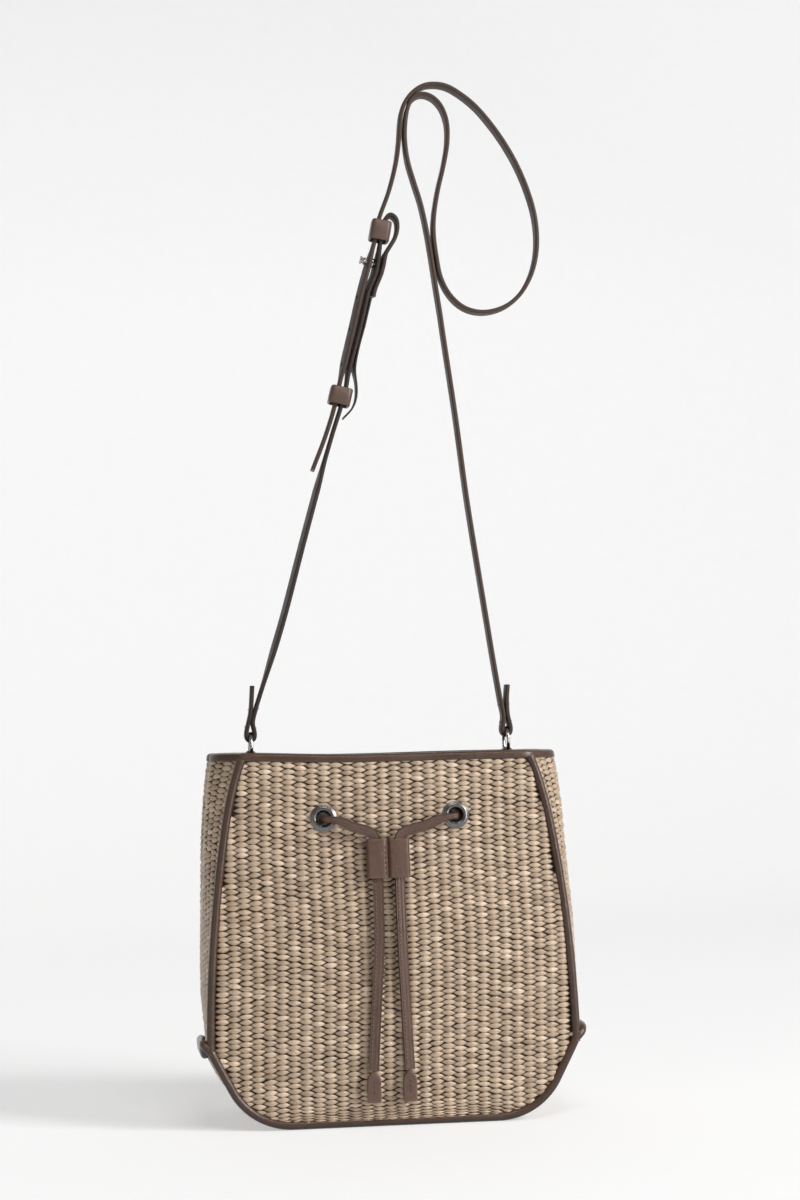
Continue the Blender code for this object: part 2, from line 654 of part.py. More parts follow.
def ring(name, side):
    """A round ring of wire that turns about its own X axis, so its origin is its centre."""
    profile = []
    for k in range(8):
        a = math.tau * k / 8
        profile.append((RING_RADIUS + RING_WIRE * math.cos(a), RING_WIRE * math.sin(a)))
    upright = Matrix.Rotation(math.radians(90), 4, "Y")
    obj = turned(name, profile, 24, (STEEL, 0.2, 1.0), upright)
    obj.location = Vector((side * RING_X, 0.0, RING_Z)) * MM
    return obj


def ring_tab(name, side):
    route = [(side * x, z) for x, z in TAB_ROUTE]
    return flat_strap(name, route, TAB_WIDTH, STRAP_THICKNESS, (LEATHER_BROWN, 0.45))


# ---- strap ----

def strap_point(x, z, lean_degrees):
    """A frame at a point of the strap's plane: X across the strap's thickness, Z along it."""
    return Matrix.Translation((x, 0.0, z)) @ Matrix.Rotation(math.radians(lean_degrees), 4, "Y")


def keeper(name, at, lean, width, height):
    """A leather band round both straps: a rounded rectangle tube along the straps."""
    place = strap_point(*at, lean)
    half_x, half_y, corner = width / 2, STRAP_WIDTH / 2 + 0.5 + KEEPER_WALL, 2.2
    outline, hollow = [], []
    for quarter in range(4):
        sx = 1 if quarter in (0, 3) else -1
        sy = 1 if quarter < 2 else -1
        for step in range(3):
            a = math.radians(90 * quarter + 45 * step)
            for target, r in ((outline, corner), (hollow, corner - KEEPER_WALL)):
                x = sx * (half_x - corner) + r * math.cos(a)
                y = sy * (half_y - corner) + r * math.sin(a)
                target.append((x, y))
    sections = []
    for (ox, oy), (ix, iy) in zip(outline, hollow):
        low, high = -height / 2, height / 2
        corners = ((ox, oy, low), (ox, oy, high), (ix, iy, high), (ix, iy, low))
        sections.append([place @ Vector(c) for c in corners])
    return swept(name, sections, (LEATHER_BROWN, 0.45), closed=True)


def strap_holes(strap, step):
    """The row of adjustment holes below the stud, cut across the strap's thickness."""
    path = smooth_route([(x, 0.0, z) for x, z in STRAP_LONG_ROUTE[:12]], 2.0, 1.0)
    start = int(np.argmin(np.linalg.norm(path - np.array((STUD_AT[0], 0.0, STUD_AT[1])), axis=1)))
    along = np.concatenate([[0.0], np.cumsum(np.linalg.norm(np.diff(path, axis=0), axis=1))])
    for k in range(HOLE_COUNT):
        index = int(np.argmin(np.abs(along - (along[start] - k * step))))
        direction = tangents(path)[index]
        across = Vector((direction[2], 0.0, -direction[0]))
        turn = Vector((0, 0, 1)).rotation_difference(across).to_matrix().to_4x4()
        place = Matrix.Translation(Vector(path[index])) @ turn
        profile = ((0.0, -3.0), (HOLE_RADIUS, -3.0), (HOLE_RADIUS, 3.0), (0.0, 3.0))
        cut(strap, turned_solid(f"cut_strap_{k}", profile, 10, (DARK_LEATHER, 0.5), place))


def stud_and_screw(short_strap):
    """The stud stands on the short strap, passes through the long strap and is held by a screw."""
    place = strap_point(*STUD_AT, STUD_LEAN) @ Matrix.Rotation(math.radians(-90), 4, "Y")
    profile = (
        (0.0, -3.2), (3.0, -3.2), (3.0, -1.7), (1.15, -1.5), (1.15, 2.2), (2.0, 2.6), (2.55, 3.9),
        (2.0, 5.2), (0.9, 5.7), (0.0, 5.8),
    )
    turned_solid("strap_stud", profile, 14, (STEEL, 0.2, 1.0), place)
    screw = ((0.0, -3.5), (1.2, -3.5), (1.2, -6.35), (2.6, -6.35), (2.6, -6.95), (0.0, -6.95))
    turned_solid("stud_screw", screw, 14, (STEEL, 0.25, 1.0), place)
    hole = ((0.0, -2.9), (HOLE_RADIUS, -2.9), (HOLE_RADIUS, -6.9), (0.0, -6.9))
    cut(short_strap, turned_solid("cut_short", hole, 10, (DARK_LEATHER, 0.5), place))


def strap():
    dark = (DARK_LEATHER, 0.45)
    long_strap = flat_strap("strap_long", STRAP_LONG_ROUTE, STRAP_WIDTH, STRAP_THICKNESS, dark)
    short_strap = flat_strap("strap_short", STRAP_SHORT_ROUTE, STRAP_WIDTH, STRAP_THICKNESS, dark)
    flat_strap("keeper_strip", KEEPER_STRIP_ROUTE, STRAP_WIDTH, STRIP_THICKNESS, dark)
    keeper("keeper_upper", **KEEPER_UPPER)
    keeper("keeper_lower", **KEEPER_LOWER)
    strap_holes(long_strap, HOLE_SPACING)
    stud_and_screw(short_strap)


# ---- drawstring ----

def drawstring():
    leather = (LEATHER_BROWN, 0.5)
    flat_string("drawstring_left", STRING_LEFT_ROUTE, (0.0, -1.0, 0.0), leather)
    flat_string("drawstring_right", STRING_RIGHT_ROUTE, (0.0, -1.0, 0.0), leather)
    left_half = [(-x, y, z) for x, y, z in STRING_BACK_HALF[:-1]]
    route = left_half + list(STRING_BACK_HALF[::-1])
    flat_string("drawstring_back", route, (0.3, -1.0, 0.0), leather)


def string_tip(name, route):
    """The folded leather tab on a string's end."""
    x, y, z = route[-1]
    half_w, half_t, length = TIP_SIZE[0] / 2, TIP_SIZE[1] / 2, TIP_SIZE[2]
    top = z - GAP
    outline = ((-half_w, top - length), (half_w, top - length), (half_w, top - 3.0), (half_w - 2.2, top),
               (2.2 - half_w, top), (-half_w, top - 3.0))
    sections = [[(x + dx, y + dy, level) for dx, level in outline] for dy in (-half_t, half_t)]
    return swept(name, sections, (LEATHER_BROWN, 0.45))


def channel_box(name, centre, size, bevel):
    """A box with its four long edges rounded, along the slider's leaning length."""
    half = [s / 2 for s in size]
    sections = []
    for level in (-half[2], half[2]):
        section = []
        for sx, sy in ((1, 1), (-1, 1), (-1, -1), (1, -1)):
            inner_x, inner_y = sx * (half[0] - bevel), sy * (half[1] - bevel)
            if sx * sy > 0:
                ends = ((sx * half[0], inner_y), (inner_x, sy * half[1]))
            else:
                ends = ((inner_x, sy * half[1]), (sx * half[0], inner_y))
            for x, y in ends:
                section.append((centre[0] + x, centre[1] + y + SLIDER_LEAN * level, centre[2] + level))
        sections.append(section)
    return swept(name, sections, (LEATHER_BROWN, 0.45))


def slider():
    """Two leather loops side by side, one for each string."""
    body = channel_box("slider", SLIDER_CENTRE, SLIDER_SIZE, 2.0)
    channel = (SLIDER_SIZE[0] / 2 - 1.5 * SLIDER_WALL, SLIDER_SIZE[1] - 2 * SLIDER_WALL, SLIDER_SIZE[2] + 6)
    shift = channel[0] / 2 + SLIDER_WALL / 2
    for label, side in (("left", -1), ("right", 1)):
        centre = (SLIDER_CENTRE[0] + side * shift, SLIDER_CENTRE[1], SLIDER_CENTRE[2])
        cut(body, channel_box(f"cut_slider_{label}", centre, channel, 0.8))


# ---- the bag ----

def build():
    clear_scene()
    panels = {-1: main_panel("front_panel", -1), 1: main_panel("back_panel", 1)}
    gusset("left_gusset", -1)
    gusset("right_gusset", 1)
    base_panel()
    base_board()
    lining_object = lining()
    rim_binding()
    for y_name, y_side in (("front", -1), ("back", 1)):
        for x_name, x_side in (("left", -1), ("right", 1)):
            seam_piping(f"piping_{y_name}_{x_name}", x_side, y_side)
    base_piping()
    eyelets(panels, lining_object)
    for label, side in (("left", -1), ("right", 1)):
        ring(f"ring_{label}", side)
        ring_tab(f"ring_tab_{label}", side)
    strap()
    drawstring()
    string_tip("tip_left", STRING_LEFT_ROUTE)
    string_tip("tip_right", STRING_RIGHT_ROUTE)
    slider()


build()
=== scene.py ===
"""The looks of a small bucket bag: woven raffia, leather piping and rim, a drawstring with a slider, a
crossbody strap on rings, and the floor, light and camera.

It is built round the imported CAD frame, in the same frame: +Z up, the front faces -Y, and the origin is the
middle of the base's underside. Lengths are in millimetres, and mesh_object turns them into metres. Lights,
the camera and the stage's glow are in metres.
"""

import math

import bmesh
import bpy
import numpy as np
from mathutils import Matrix, Vector


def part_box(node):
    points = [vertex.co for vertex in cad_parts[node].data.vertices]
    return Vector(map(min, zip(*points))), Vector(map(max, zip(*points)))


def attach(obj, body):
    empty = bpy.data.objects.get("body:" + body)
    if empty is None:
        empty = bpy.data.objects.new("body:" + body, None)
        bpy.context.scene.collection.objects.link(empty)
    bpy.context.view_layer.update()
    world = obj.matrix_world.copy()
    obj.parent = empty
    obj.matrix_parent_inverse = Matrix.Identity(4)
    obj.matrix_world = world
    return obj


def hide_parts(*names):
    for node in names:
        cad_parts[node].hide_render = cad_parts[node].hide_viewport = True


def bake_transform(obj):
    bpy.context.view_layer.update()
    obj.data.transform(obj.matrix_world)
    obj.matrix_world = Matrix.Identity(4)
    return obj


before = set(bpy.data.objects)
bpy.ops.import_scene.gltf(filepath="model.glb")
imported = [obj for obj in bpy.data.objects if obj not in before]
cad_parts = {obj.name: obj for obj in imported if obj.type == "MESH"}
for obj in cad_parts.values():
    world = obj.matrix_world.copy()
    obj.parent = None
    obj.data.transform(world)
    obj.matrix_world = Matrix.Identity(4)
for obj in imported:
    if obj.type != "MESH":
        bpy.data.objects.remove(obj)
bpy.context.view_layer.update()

MM = 0.001


def box_mm(node):
    """A CAD node's lowest and highest corners, in millimetres."""
    low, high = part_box(node)
    return np.array(low) / MM, np.array(high) / MM


def centre_mm(node):
    low, high = box_mm(node)
    return (low + high) / 2


# The bag's outline, by the same formulas as the CAD model's
RIM_Z = box_mm("rim_binding")[1][2]
SEAM_FOOT_Z = 45.0
SEAM_FOOT_HALF_WIDTH = 108.5
SEAM_TAPER = 19.0
SEAM_TAPER_TOP = 4.5
GUSSET_HALF_WIDTH = 112.6
GUSSET_TAPER = 9.0
GUSSET_FOOT_Z = 52.0
BASE_HALF_DEPTH = 48.0
DEPTH_TAPER = 10.0
PANEL_BULGE = 8.0
RIM_BULGE = 2.0
FOLD_START_Z = 105.0
FOLD_FULL_Z = 200.0
FOLD_VALLEY = 2.8
CREST_RADIUS = 10.0
VALLEY_RADIUS = 4.0
FLAT_HALF_WIDTH = 61.0
OUTLINE_Z = 2.6
CORNER_RADIUS = 40.0
CORNER_Z = OUTLINE_Z + CORNER_RADIUS
FLANK_ANGLE = math.radians(62.0)
EAR_Z = 47.0
BASE_END_Z = 50.0
BASE_DROP_FLAT = 2.6
BASE_DROP_END = 1.2
SIDE_PIPING_Z = 52.8
SIDE_PIPING_HALF_WIDTH = 114.8
SEAM_PIPING_RADIUS = 2.4
BASE_PIPING_RADIUS = 2.2
BINDING_FOOT_Z = box_mm("rim_binding")[0][2]
LINING_INSET = 2.9
LINING_THICKNESS = 0.5

# The weave: leaf-shaped floats in columns, each column half a row above the last
COLUMN_PITCH = 6.9
ROW_PITCH = 3.2
FLOAT_HALF_LENGTH = 4.75
FLOAT_HALF_HEIGHT = 1.78
FLOAT_CREST = 1.0
FLOAT_DIVE = 1.6
BACKING_LEVEL = -0.8
BACKING_THICKNESS = 0.8
PRESSED_HEIGHT = 0.2  # the straw under an edge
FREE_RISE = 1.6  # how much higher it may stand away from one
STRAW_TOP_Z = BINDING_FOOT_Z + 0.5
STRAW_INSET = BASE_PIPING_RADIUS + 0.3

# How the soft bag has settled
MOUTH_LIFT = 2.3
BASE_SAG = (2.6, 9.0)
RIGHT_FULLNESS = 3.0
LEFT_FULLNESS = -1.3

# Hardware
EYE_X, EYE_Y, EYE_Z = np.abs(centre_mm("eyelet_front_left"))
EYELET_HOLE = 4.25
EYELET_BARREL = 5.0
EYELET_FLANGE = 8.0
WASHER_RADIUS = 7.6
EYELET_THROUGH = -3.2
RING_RADIUS = 8.5
RING_WIRE = 1.1

# Straps and strings
STRAP_WIDTH = 10.0
STRAP_THICKNESS = 2.2
STRAP_DRAWN_THICKNESS = 2.7  # with its crown and painted edges
STRIP_THICKNESS = 1.2
TAB_WIDTH = 8.0
KEEPER_WALL = 1.5
STRING_WIDTH = 6.3
STRING_THICKNESS = 2.2
SLIDER_LEAN = 0.09
STUD_AT = (0.3, 523.3)
STUD_LEAN = 16.0
STRAP_TURN = math.radians(13.0)  # between the keepers
LOWER_TURN = math.radians(11.0)  # the short strap, below them
STRAP_DRAWN_IN = 2.2
HOLE_SPACING = 22.0
HOLE_COUNT = 5
KEEPER_UPPER = {"at": (7.9, 542.7), "lean": 11.0, "width": 12.4, "height": 12.6}
KEEPER_LOWER = {"at": (-19.4, 439.3), "lean": 14.0, "width": 13.6, "height": 11.0}

# The strap's and the strings' routes, as in the CAD model
STRAP_LONG_ROUTE = (
    (-37.6, 393.4), (-29.3, 414.0), (-23.6, 431.0), (-21.4, 439.5), (-19.1, 449.0), (-14.7, 467.0),
    (-10.3, 484.0), (-5.3, 504.0), (0.3, 523.3), (4.4, 536.8), (5.6, 542.7), (7.3, 550.2), (13.8, 567.4),
    (18.6, 585.0), (20.9, 600.0), (21.8, 610.7), (22.9, 617.4), (25.6, 624.4), (30.6, 630.4), (37.2, 634.4),
    (44.2, 635.4), (52.0, 634.0), (60.6, 629.0), (69.6, 621.5), (79.0, 610.4), (87.7, 597.7), (95.4, 583.3),
    (101.4, 568.0), (105.2, 553.5), (106.5, 539.5), (105.4, 526.0), (101.4, 513.2), (94.4, 502.2),
    (84.4, 494.6), (71.6, 491.4), (60.2, 493.8), (51.4, 501.0), (45.4, 512.0), (42.6, 526.4), (41.2, 541.8),
    (42.0, 554.0), (44.8, 569.0), (48.7, 584.3), (51.4, 599.6), (51.0, 612.6), (47.4, 622.0), (41.9, 627.4),
    (35.6, 629.0), (30.1, 626.3), (26.8, 619.8), (25.0, 610.0), (24.6, 600.0), (26.0, 587.0), (29.5, 573.7),
    (33.4, 560.3), (36.5, 545.0), (39.0, 528.6), (41.6, 508.8), (44.3, 489.0), (46.2, 473.5), (52.4, 424.7),
    (57.9, 375.4), (63.3, 335.7), (68.4, 299.6), (71.8, 275.5), (74.0, 260.8), (75.9, 248.5), (77.4, 240.0),
    (77.0, 235.2), (76.5, 232.8), (76.6, 230.2), (77.4, 228.6), (79.0, 228.0), (80.6, 228.6), (81.4, 230.2),
    (81.5, 232.8), (81.0, 235.4), (80.0, 240.0), (79.6, 249.5), (80.4, 259.0),
)
STRAP_SHORT_ROUTE = (
    (-77.4, 261.5), (-77.9, 254.0), (-78.6, 246.0), (-80.1, 239.0), (-81.0, 235.4), (-81.5, 232.8),
    (-81.4, 230.2), (-80.6, 228.6), (-79.0, 228.0), (-77.4, 228.6), (-76.6, 230.2), (-76.5, 232.8),
    (-77.0, 235.2), (-77.5, 239.0), (-75.6, 247.0), (-71.5, 259.5), (-66.8, 273.7), (-57.4, 303.2),
    (-45.4, 346.0), (-34.6, 383.5), (-30.2, 398.4), (-23.8, 418.6), (-19.7, 430.8), (-14.0, 449.9),
    (-9.6, 464.5), (-4.8, 481.4), (-0.8, 497.2), (2.2, 509.7), (4.3, 518.7), (6.0, 526.0), (7.2, 532.0),
    (8.3, 538.0), (9.4, 544.0), (11.0, 549.6), (14.2, 552.6), (17.6, 550.4), (18.6, 545.2), (17.2, 538.8),
    (13.9, 533.2), (10.6, 527.9), (8.3, 520.4), (6.1, 512.0), (3.9, 501.3),
)
KEEPER_STRIP_ROUTE = (
    (0.2, 492.4), (-2.4, 482.4), (-6.0, 470.0), (-8.8, 456.8), (-9.0, 447.5), (-9.8, 437.4), (-12.2, 431.6),
    (-17.8, 425.6),
)
TAB_ROUTE = (
    (83.6, 202.0), (80.2, 207.8), (77.3, 211.8), (76.4, 214.6), (76.4, 217.2), (77.3, 218.9), (79.1, 219.5),
    (80.9, 219.0), (81.9, 217.2), (82.0, 214.6), (83.2, 210.8), (86.2, 204.6),
)
STRING_LEFT_ROUTE = (
    (-36.9, -52.2, 180.7), (-33.4, -53.2, 180.2), (-29.0, -54.0, 178.8), (-24.0, -54.4, 176.4),
    (-18.4, -54.2, 174.4), (-13.2, -53.9, 172.6), (-10.2, -53.9, 169.8), (-9.3, -54.3, 164.0),
    (-9.1, -54.9, 157.0), (-9.0, -56.0, 145.0), (-9.0, -57.5, 128.0), (-9.1, -58.7, 114.5),
    (-9.8, -59.0, 100.0), (-11.4, -58.8, 76.0), (-13.1, -58.3, 52.0), (-14.2, -58.0, 33.8),
)
STRING_RIGHT_ROUTE = (
    (36.9, -52.2, 180.7), (32.6, -53.2, 180.0), (27.0, -54.0, 178.4), (21.0, -54.4, 175.8),
    (14.0, -54.2, 174.2), (8.6, -53.9, 172.6), (5.2, -53.9, 169.8), (4.3, -54.3, 164.0),
    (4.1, -54.9, 157.0), (4.0, -56.0, 145.0), (4.0, -57.5, 128.0), (4.1, -58.7, 114.5), (4.5, -59.0, 100.0),
    (5.4, -58.8, 76.0), (6.3, -58.3, 52.0), (7.0, -58.0, 33.8),
)
STRING_BACK_HALF = (
    (38.1, -52.0, 180.8), (39.1, -50.8, 180.9), (39.4, -48.5, 181.0), (39.5, -45.0, 181.0),
    (39.5, -30.0, 180.6), (39.5, 0.0, 180.0), (39.5, 30.0, 180.6), (39.5, 45.0, 181.0), (39.4, 48.5, 181.0),
    (38.2, 51.6, 180.8), (34.0, 53.0, 180.0), (22.0, 52.2, 177.2), (10.0, 51.4, 175.4), (0.0, 51.2, 175.0),
)

# The camera, at the photograph's viewing angle
CAMERA_DISTANCE = 1.45
CAMERA_HEIGHT = 0.228
CAMERA_AZIMUTH = math.radians(-6.5)
CAMERA_YAW = math.radians(-0.588)
CAMERA_PITCH = math.radians(3.335)
CAMERA_ROLL = math.radians(-1.367)
CAMERA_LENS = 70.65

# The studio paper's glow, and how it changes along X, Y and Z for each metre
GLOW_MIDDLE = 0.412
GLOW_SLOPE = (-0.066, 0.012, -0.110)

GRAIN_SIZE = 0.9
TUBE_SIDES = 20


# ---- meshes ----

def link(name, mesh, finishes):
    for finish in finishes:
        mesh.materials.append(finish)
    obj = bpy.data.objects.new(name, mesh)
    bpy.context.scene.collection.objects.link(obj)
    return obj


def mesh_object(name, points, faces, *finishes, sharp_degrees=50.0, tidy=True):
    """A piece from points in millimetres. tidy turns all its faces outwards."""
    mesh = bpy.data.meshes.new(name)
    mesh.from_pydata((np.asarray(points, float) * MM).tolist(), [], faces)
    if tidy:
        bm = bmesh.new()
        bm.from_mesh(mesh)
        bmesh.ops.recalc_face_normals(bm, faces=bm.faces)
        bm.to_mesh(mesh)
        bm.free()
    mesh.shade_smooth()
    if sharp_degrees:
        mesh.set_sharp_from_angle(angle=math.radians(sharp_degrees))
    return link(name, mesh, finishes)


def point_attribute(obj, name, values):
    """A vector at each point, which the material reads by name."""
    attribute = obj.data.attributes.new(name, "FLOAT_VECTOR", "POINT")
    attribute.data.foreach_set("vector", np.asarray(values, np.float32).ravel())


def band_faces(rows, columns, rows_closed=False, columns_closed=False, first=0):
    """Quads between neighbouring rows of a grid of points."""
    i = np.arange(rows if rows_closed else rows - 1)[:, None]
    j = np.arange(columns if columns_closed else columns - 1)[None, :]
    row, next_row = i * columns, (i + 1) % rows * columns
    next_j = (j + 1) % columns
    quads = np.stack(np.broadcast_arrays(row + j, row + next_j, next_row + next_j, next_row + j), -1)
    return (quads.reshape(-1, 4) + first).tolist()


def swept(name, sections, finish, closed=False, sharp_degrees=50.0):
    """A solid through sections of the same number of points, capped unless it closes on itself."""
    sections = np.asarray(sections, float)
    count, size = sections.shape[:2]
    faces = band_faces(count, size, closed, True)
    if not closed:
        faces.append(list(range(size)))
        faces.append([(count - 1) * size + i for i in range(size)])
    return mesh_object(name, sections.reshape(-1, 3), faces, finish, sharp_degrees=sharp_degrees)


def turned(name, profile, steps, finish, place, sharp_degrees=50.0):
    """A ring-shaped solid: a closed profile of (radius, height) turned about its own Z axis, then placed."""
    sections = []
    for i in range(steps):
        a = math.tau * i / steps
        sections.append([tuple(place @ Vector((r * math.cos(a), r * math.sin(a), h))) for r, h in profile])
    return swept(name, sections, finish, closed=True, sharp_degrees=sharp_degrees)


def turned_solid(name, profile, steps, finish, place):
    """A solid of revolution whose profile of (radius, height) nearly meets the axis at both ends."""
    sections = []
    for r, h in profile:
        ring = []
        for i in range(steps):
            a = math.tau * i / steps
            ring.append(tuple(place @ Vector((r * math.cos(a), r * math.sin(a), h))))
        sections.append(ring)
    return swept(name, sections, finish, sharp_degrees=40.0)


def apply_modifiers(obj):
    """Makes a piece's modified shape its own."""
    graph = bpy.context.evaluated_depsgraph_get()
    mesh = bpy.data.meshes.new_from_object(obj.evaluated_get(graph))
    obj.modifiers.clear()
    obj.data = mesh


def punch(obj, cutters):
    """Holes through a piece, one for each cutter."""
    for cutter in cutters:
        hole = obj.modifiers.new("hole", "BOOLEAN")
        hole.operation = "DIFFERENCE"
        hole.object = cutter
        hole.solver = "EXACT"
    apply_modifiers(obj)
    for cutter in cutters:
        bpy.data.objects.remove(cutter)


# ---- routes ----

def smooth_route(points, steps=12):
    """A dense smooth curve through given points, the same one that the CAD model follows."""
    p = np.array(points, float)
    p = np.vstack([2 * p[0] - p[1], p, 2 * p[-1] - p[-2]])
    dense = []
    for i in range(1, len(p) - 2):
        knots = np.cumsum([0.0] + [math.sqrt(np.linalg.norm(p[i + k] - p[i + k - 1])) for k in (0, 1, 2)])
        for t in np.linspace(knots[1], knots[2], steps, endpoint=False):
            dense.append(catmull_rom(p[i - 1:i + 3], knots, t))
    dense.append(p[-2])
    return np.array(dense)


def catmull_rom(p, k, t):
    """The point at t of the curve through four points p with knots k."""
    a1 = (k[1] - t) / (k[1] - k[0]) * p[0] + (t - k[0]) / (k[1] - k[0]) * p[1]
    a2 = (k[2] - t) / (k[2] - k[1]) * p[1] + (t - k[1]) / (k[2] - k[1]) * p[2]
    a3 = (k[3] - t) / (k[3] - k[2]) * p[2] + (t - k[2]) / (k[3] - k[2]) * p[3]
    b1 = (k[2] - t) / (k[2] - k[0]) * a1 + (t - k[0]) / (k[2] - k[0]) * a2
    b2 = (k[3] - t) / (k[3] - k[1]) * a2 + (t - k[1]) / (k[3] - k[1]) * a3
    return (k[2] - t) / (k[2] - k[1]) * b1 + (t - k[1]) / (k[2] - k[1]) * b2


def unit(vectors):
    return vectors / np.linalg.norm(vectors, axis=-1, keepdims=True)


def lengths_along(path):
    """How far along the path each of its points is."""
    return np.concatenate([[0.0], np.cumsum(np.linalg.norm(np.diff(path, axis=0), axis=1))])


def respaced(path, step):
    """Points an even step apart along a path."""
    along = lengths_along(path)
    marks = np.linspace(0.0, along[-1], max(2, int(round(along[-1] / step)) + 1))
    return np.column_stack([np.interp(marks, along, path[:, k]) for k in range(path.shape[1])])


def plane_route(route, side=1):
    """A route of (x, z) in the plane y = 0."""
    return [(side * x, 0.0, z) for x, z in route]


def tangents(path, closed=False):
    if closed:
        ahead, behind = np.roll(path, -1, axis=0), np.roll(path, 1, axis=0)
    else:
        ahead, behind = np.vstack([path[1:], path[-1:]]), np.vstack([path[:1], path[:-1]])
    return unit(ahead - behind)


def carried_normals(path, first, closed=False):
    """A normal at each point, turned from the last one by as little as the route allows."""
    along = tangents(path, closed)
    normals = []
    normal = np.array(first, float)
    for t in along:
        normal = unit(normal - normal @ t * t)
        normals.append(normal)
    return along, np.array(normals)


def band_profile(width, thickness, groove, crown):
    """A leather strap's section as (across, up): crowned faces with a groove, and rounded edges."""
    corner = thickness * 0.42
    half_w, half_t = width / 2, thickness / 2
    face = []
    for u in np.linspace(-1, 1, 9):
        face.append((u * (half_w - corner), half_t - crown * u * u - groove * math.exp(-(u / 0.2) ** 2)))
    right = []
    for degrees in (60.0, 30.0, 0.0, -30.0, -60.0):
        a = math.radians(degrees)
        middle = half_t - corner if degrees > 0 else corner - half_t
        right.append((half_w - corner + corner * math.cos(a), middle + corner * math.sin(a)))
    upper = face + right
    return upper + [(-x, -y) for x, y in upper]


def ribbon(name, path, normals, width, thickness, finish, width_share=1.0, groove=0.0):
    """A leather band along a path, its faces along the normals. It is thicker where it is gathered."""
    width_share = np.broadcast_to(width_share, len(path))[:, None]
    sides = np.cross(tangents(path), normals) * width_share
    rises = normals * (1 + 1.2 * (1 - width_share))
    profile = np.array(band_profile(width, thickness, groove, 0.25 + groove / 2))
    sections = path[:, None] + profile[None, :, :1] * sides[:, None] + profile[None, :, 1:] * rises[:, None]
    obj = swept(name, sections, finish, sharp_degrees=70.0)
    travelled = np.repeat(lengths_along(path), len(profile))
    across = np.tile(profile, (len(path), 1))
    point_attribute(obj, "band", np.column_stack([travelled, across[:, 0] / (width / 2), across[:, 1]]))
    return obj


def flat_strap(name, path, width, thickness, finish, turn=0.0):
    """A band in the plane y = 0, with its width along Y. turn shows its left face to the front."""
    along = tangents(path)
    normals = np.column_stack([along[:, 2], np.zeros(len(path)), -along[:, 0]])
    turn = np.broadcast_to(turn, len(path))[:, None] * np.sign(normals[:, :1])
    normals = normals * np.cos(turn) + np.array((0.0, 1.0, 0.0)) * np.sin(turn)
    return ribbon(name, path, normals, width, thickness, finish)


def tube(name, path, radius, finish, closed=False, first=(0.0, 1.0, 0.0)):
    """A round cord. radius is one number, or one for each point of the path."""
    radius = np.broadcast_to(radius, len(path))
    along, normals = carried_normals(path, first, closed)
    side = np.cross(along, normals)
    a = np.arange(TUBE_SIDES) * math.tau / TUBE_SIDES
    around = np.cos(a)[None, :, None] * normals[:, None, :] + np.sin(a)[None, :, None] * side[:, None, :]
    sections = path[:, None, :] + radius[:, None, None] * around
    return swept(name, sections, finish, closed=closed, sharp_degrees=70.0)


# ---- the bag's surface ----

def seam_half_width(z):
    """Half the front's width between its seams, which narrows towards the rim."""
    share = (np.maximum(z, SEAM_FOOT_Z) - SEAM_FOOT_Z) / (RIM_Z - SEAM_FOOT_Z)
    return SEAM_FOOT_HALF_WIDTH - SEAM_TAPER * share ** 1.9 - SEAM_TAPER_TOP * share ** 10


def gusset_half_width(z):
    """Half the bag's width over the gussets' fullest part."""
    share = np.maximum(0.0, z - GUSSET_FOOT_Z) / (RIM_Z - GUSSET_FOOT_Z)
    return GUSSET_HALF_WIDTH - GUSSET_TAPER * share ** 3


def flank_half_width(z, inset=0.0):
    """Half-width of the outline below the ears, set in from the base piping's line."""
    radius = CORNER_RADIUS - inset
    tangent_z = CORNER_Z - radius * math.cos(FLANK_ANGLE)
    curved = FLAT_HALF_WIDTH + np.sqrt(np.maximum(0.0, radius ** 2 - (CORNER_Z - z) ** 2))
    straight = FLAT_HALF_WIDTH + radius * math.sin(FLANK_ANGLE) + (z - tangent_z) / math.tan(FLANK_ANGLE)
    return np.where(z <= tangent_z, curved, straight)


def half_width(z):
    """Half the front's width at any height."""
    return np.minimum(seam_half_width(z), flank_half_width(z))


def seam_half_depth(z):
    """Distance from the middle plane to the seams."""
    return BASE_HALF_DEPTH - DEPTH_TAPER * (z / RIM_Z) ** 2


def panel_half_depth(x, z):
    """Distance from the middle plane to the front or back panel's face."""
    share = np.maximum(z, 0.0) / RIM_Z
    swell = PANEL_BULGE * np.maximum(0.0, np.sin(np.pi * share ** 0.75)) ** 0.8 + RIM_BULGE * share
    return seam_half_depth(z) + swell * (1 - np.minimum(1.0, np.abs(x) / half_width(z)) ** 2)


def slopes(face, a, b, step):
    """How fast a face's distance grows along each of its two directions."""
    slope_a = (face(a + step, b) - face(a - step, b)) / (2 * step)
    slope_b = (face(a, b + step) - face(a, b - step)) / (2 * step)
    return slope_a, slope_b


def smooth_step(value):
    value = np.clip(value, 0.0, 1.0)
    return value * value * (3 - 2 * value)


def gusset_x(y, z):
    """The gusset's face: a plain bulge below that becomes an inward fold near the rim."""
    foot, crest = seam_half_width(z), gusset_half_width(z)
    depth = seam_half_depth(z)
    plain = foot + (crest - foot) * (1 - (y / depth) ** 2)
    crest_y = depth / 2
    valley = foot + FOLD_VALLEY
    softened = np.hypot(y, VALLEY_RADIUS)

    def drop(distance):
        return np.hypot(distance, CREST_RADIUS) - CREST_RADIUS

    inner = crest - (crest - valley) * drop(crest_y - softened) / drop(crest_y - VALLEY_RADIUS)
    outer = crest - (crest - foot) * drop(softened - crest_y) / drop(np.hypot(depth, VALLEY_RADIUS) - crest_y)
    folded = np.where(softened < crest_y, inner, outer)
    share = smooth_step((z - FOLD_START_Z) / (FOLD_FULL_Z - FOLD_START_Z))
    return plain + (folded - plain) * share


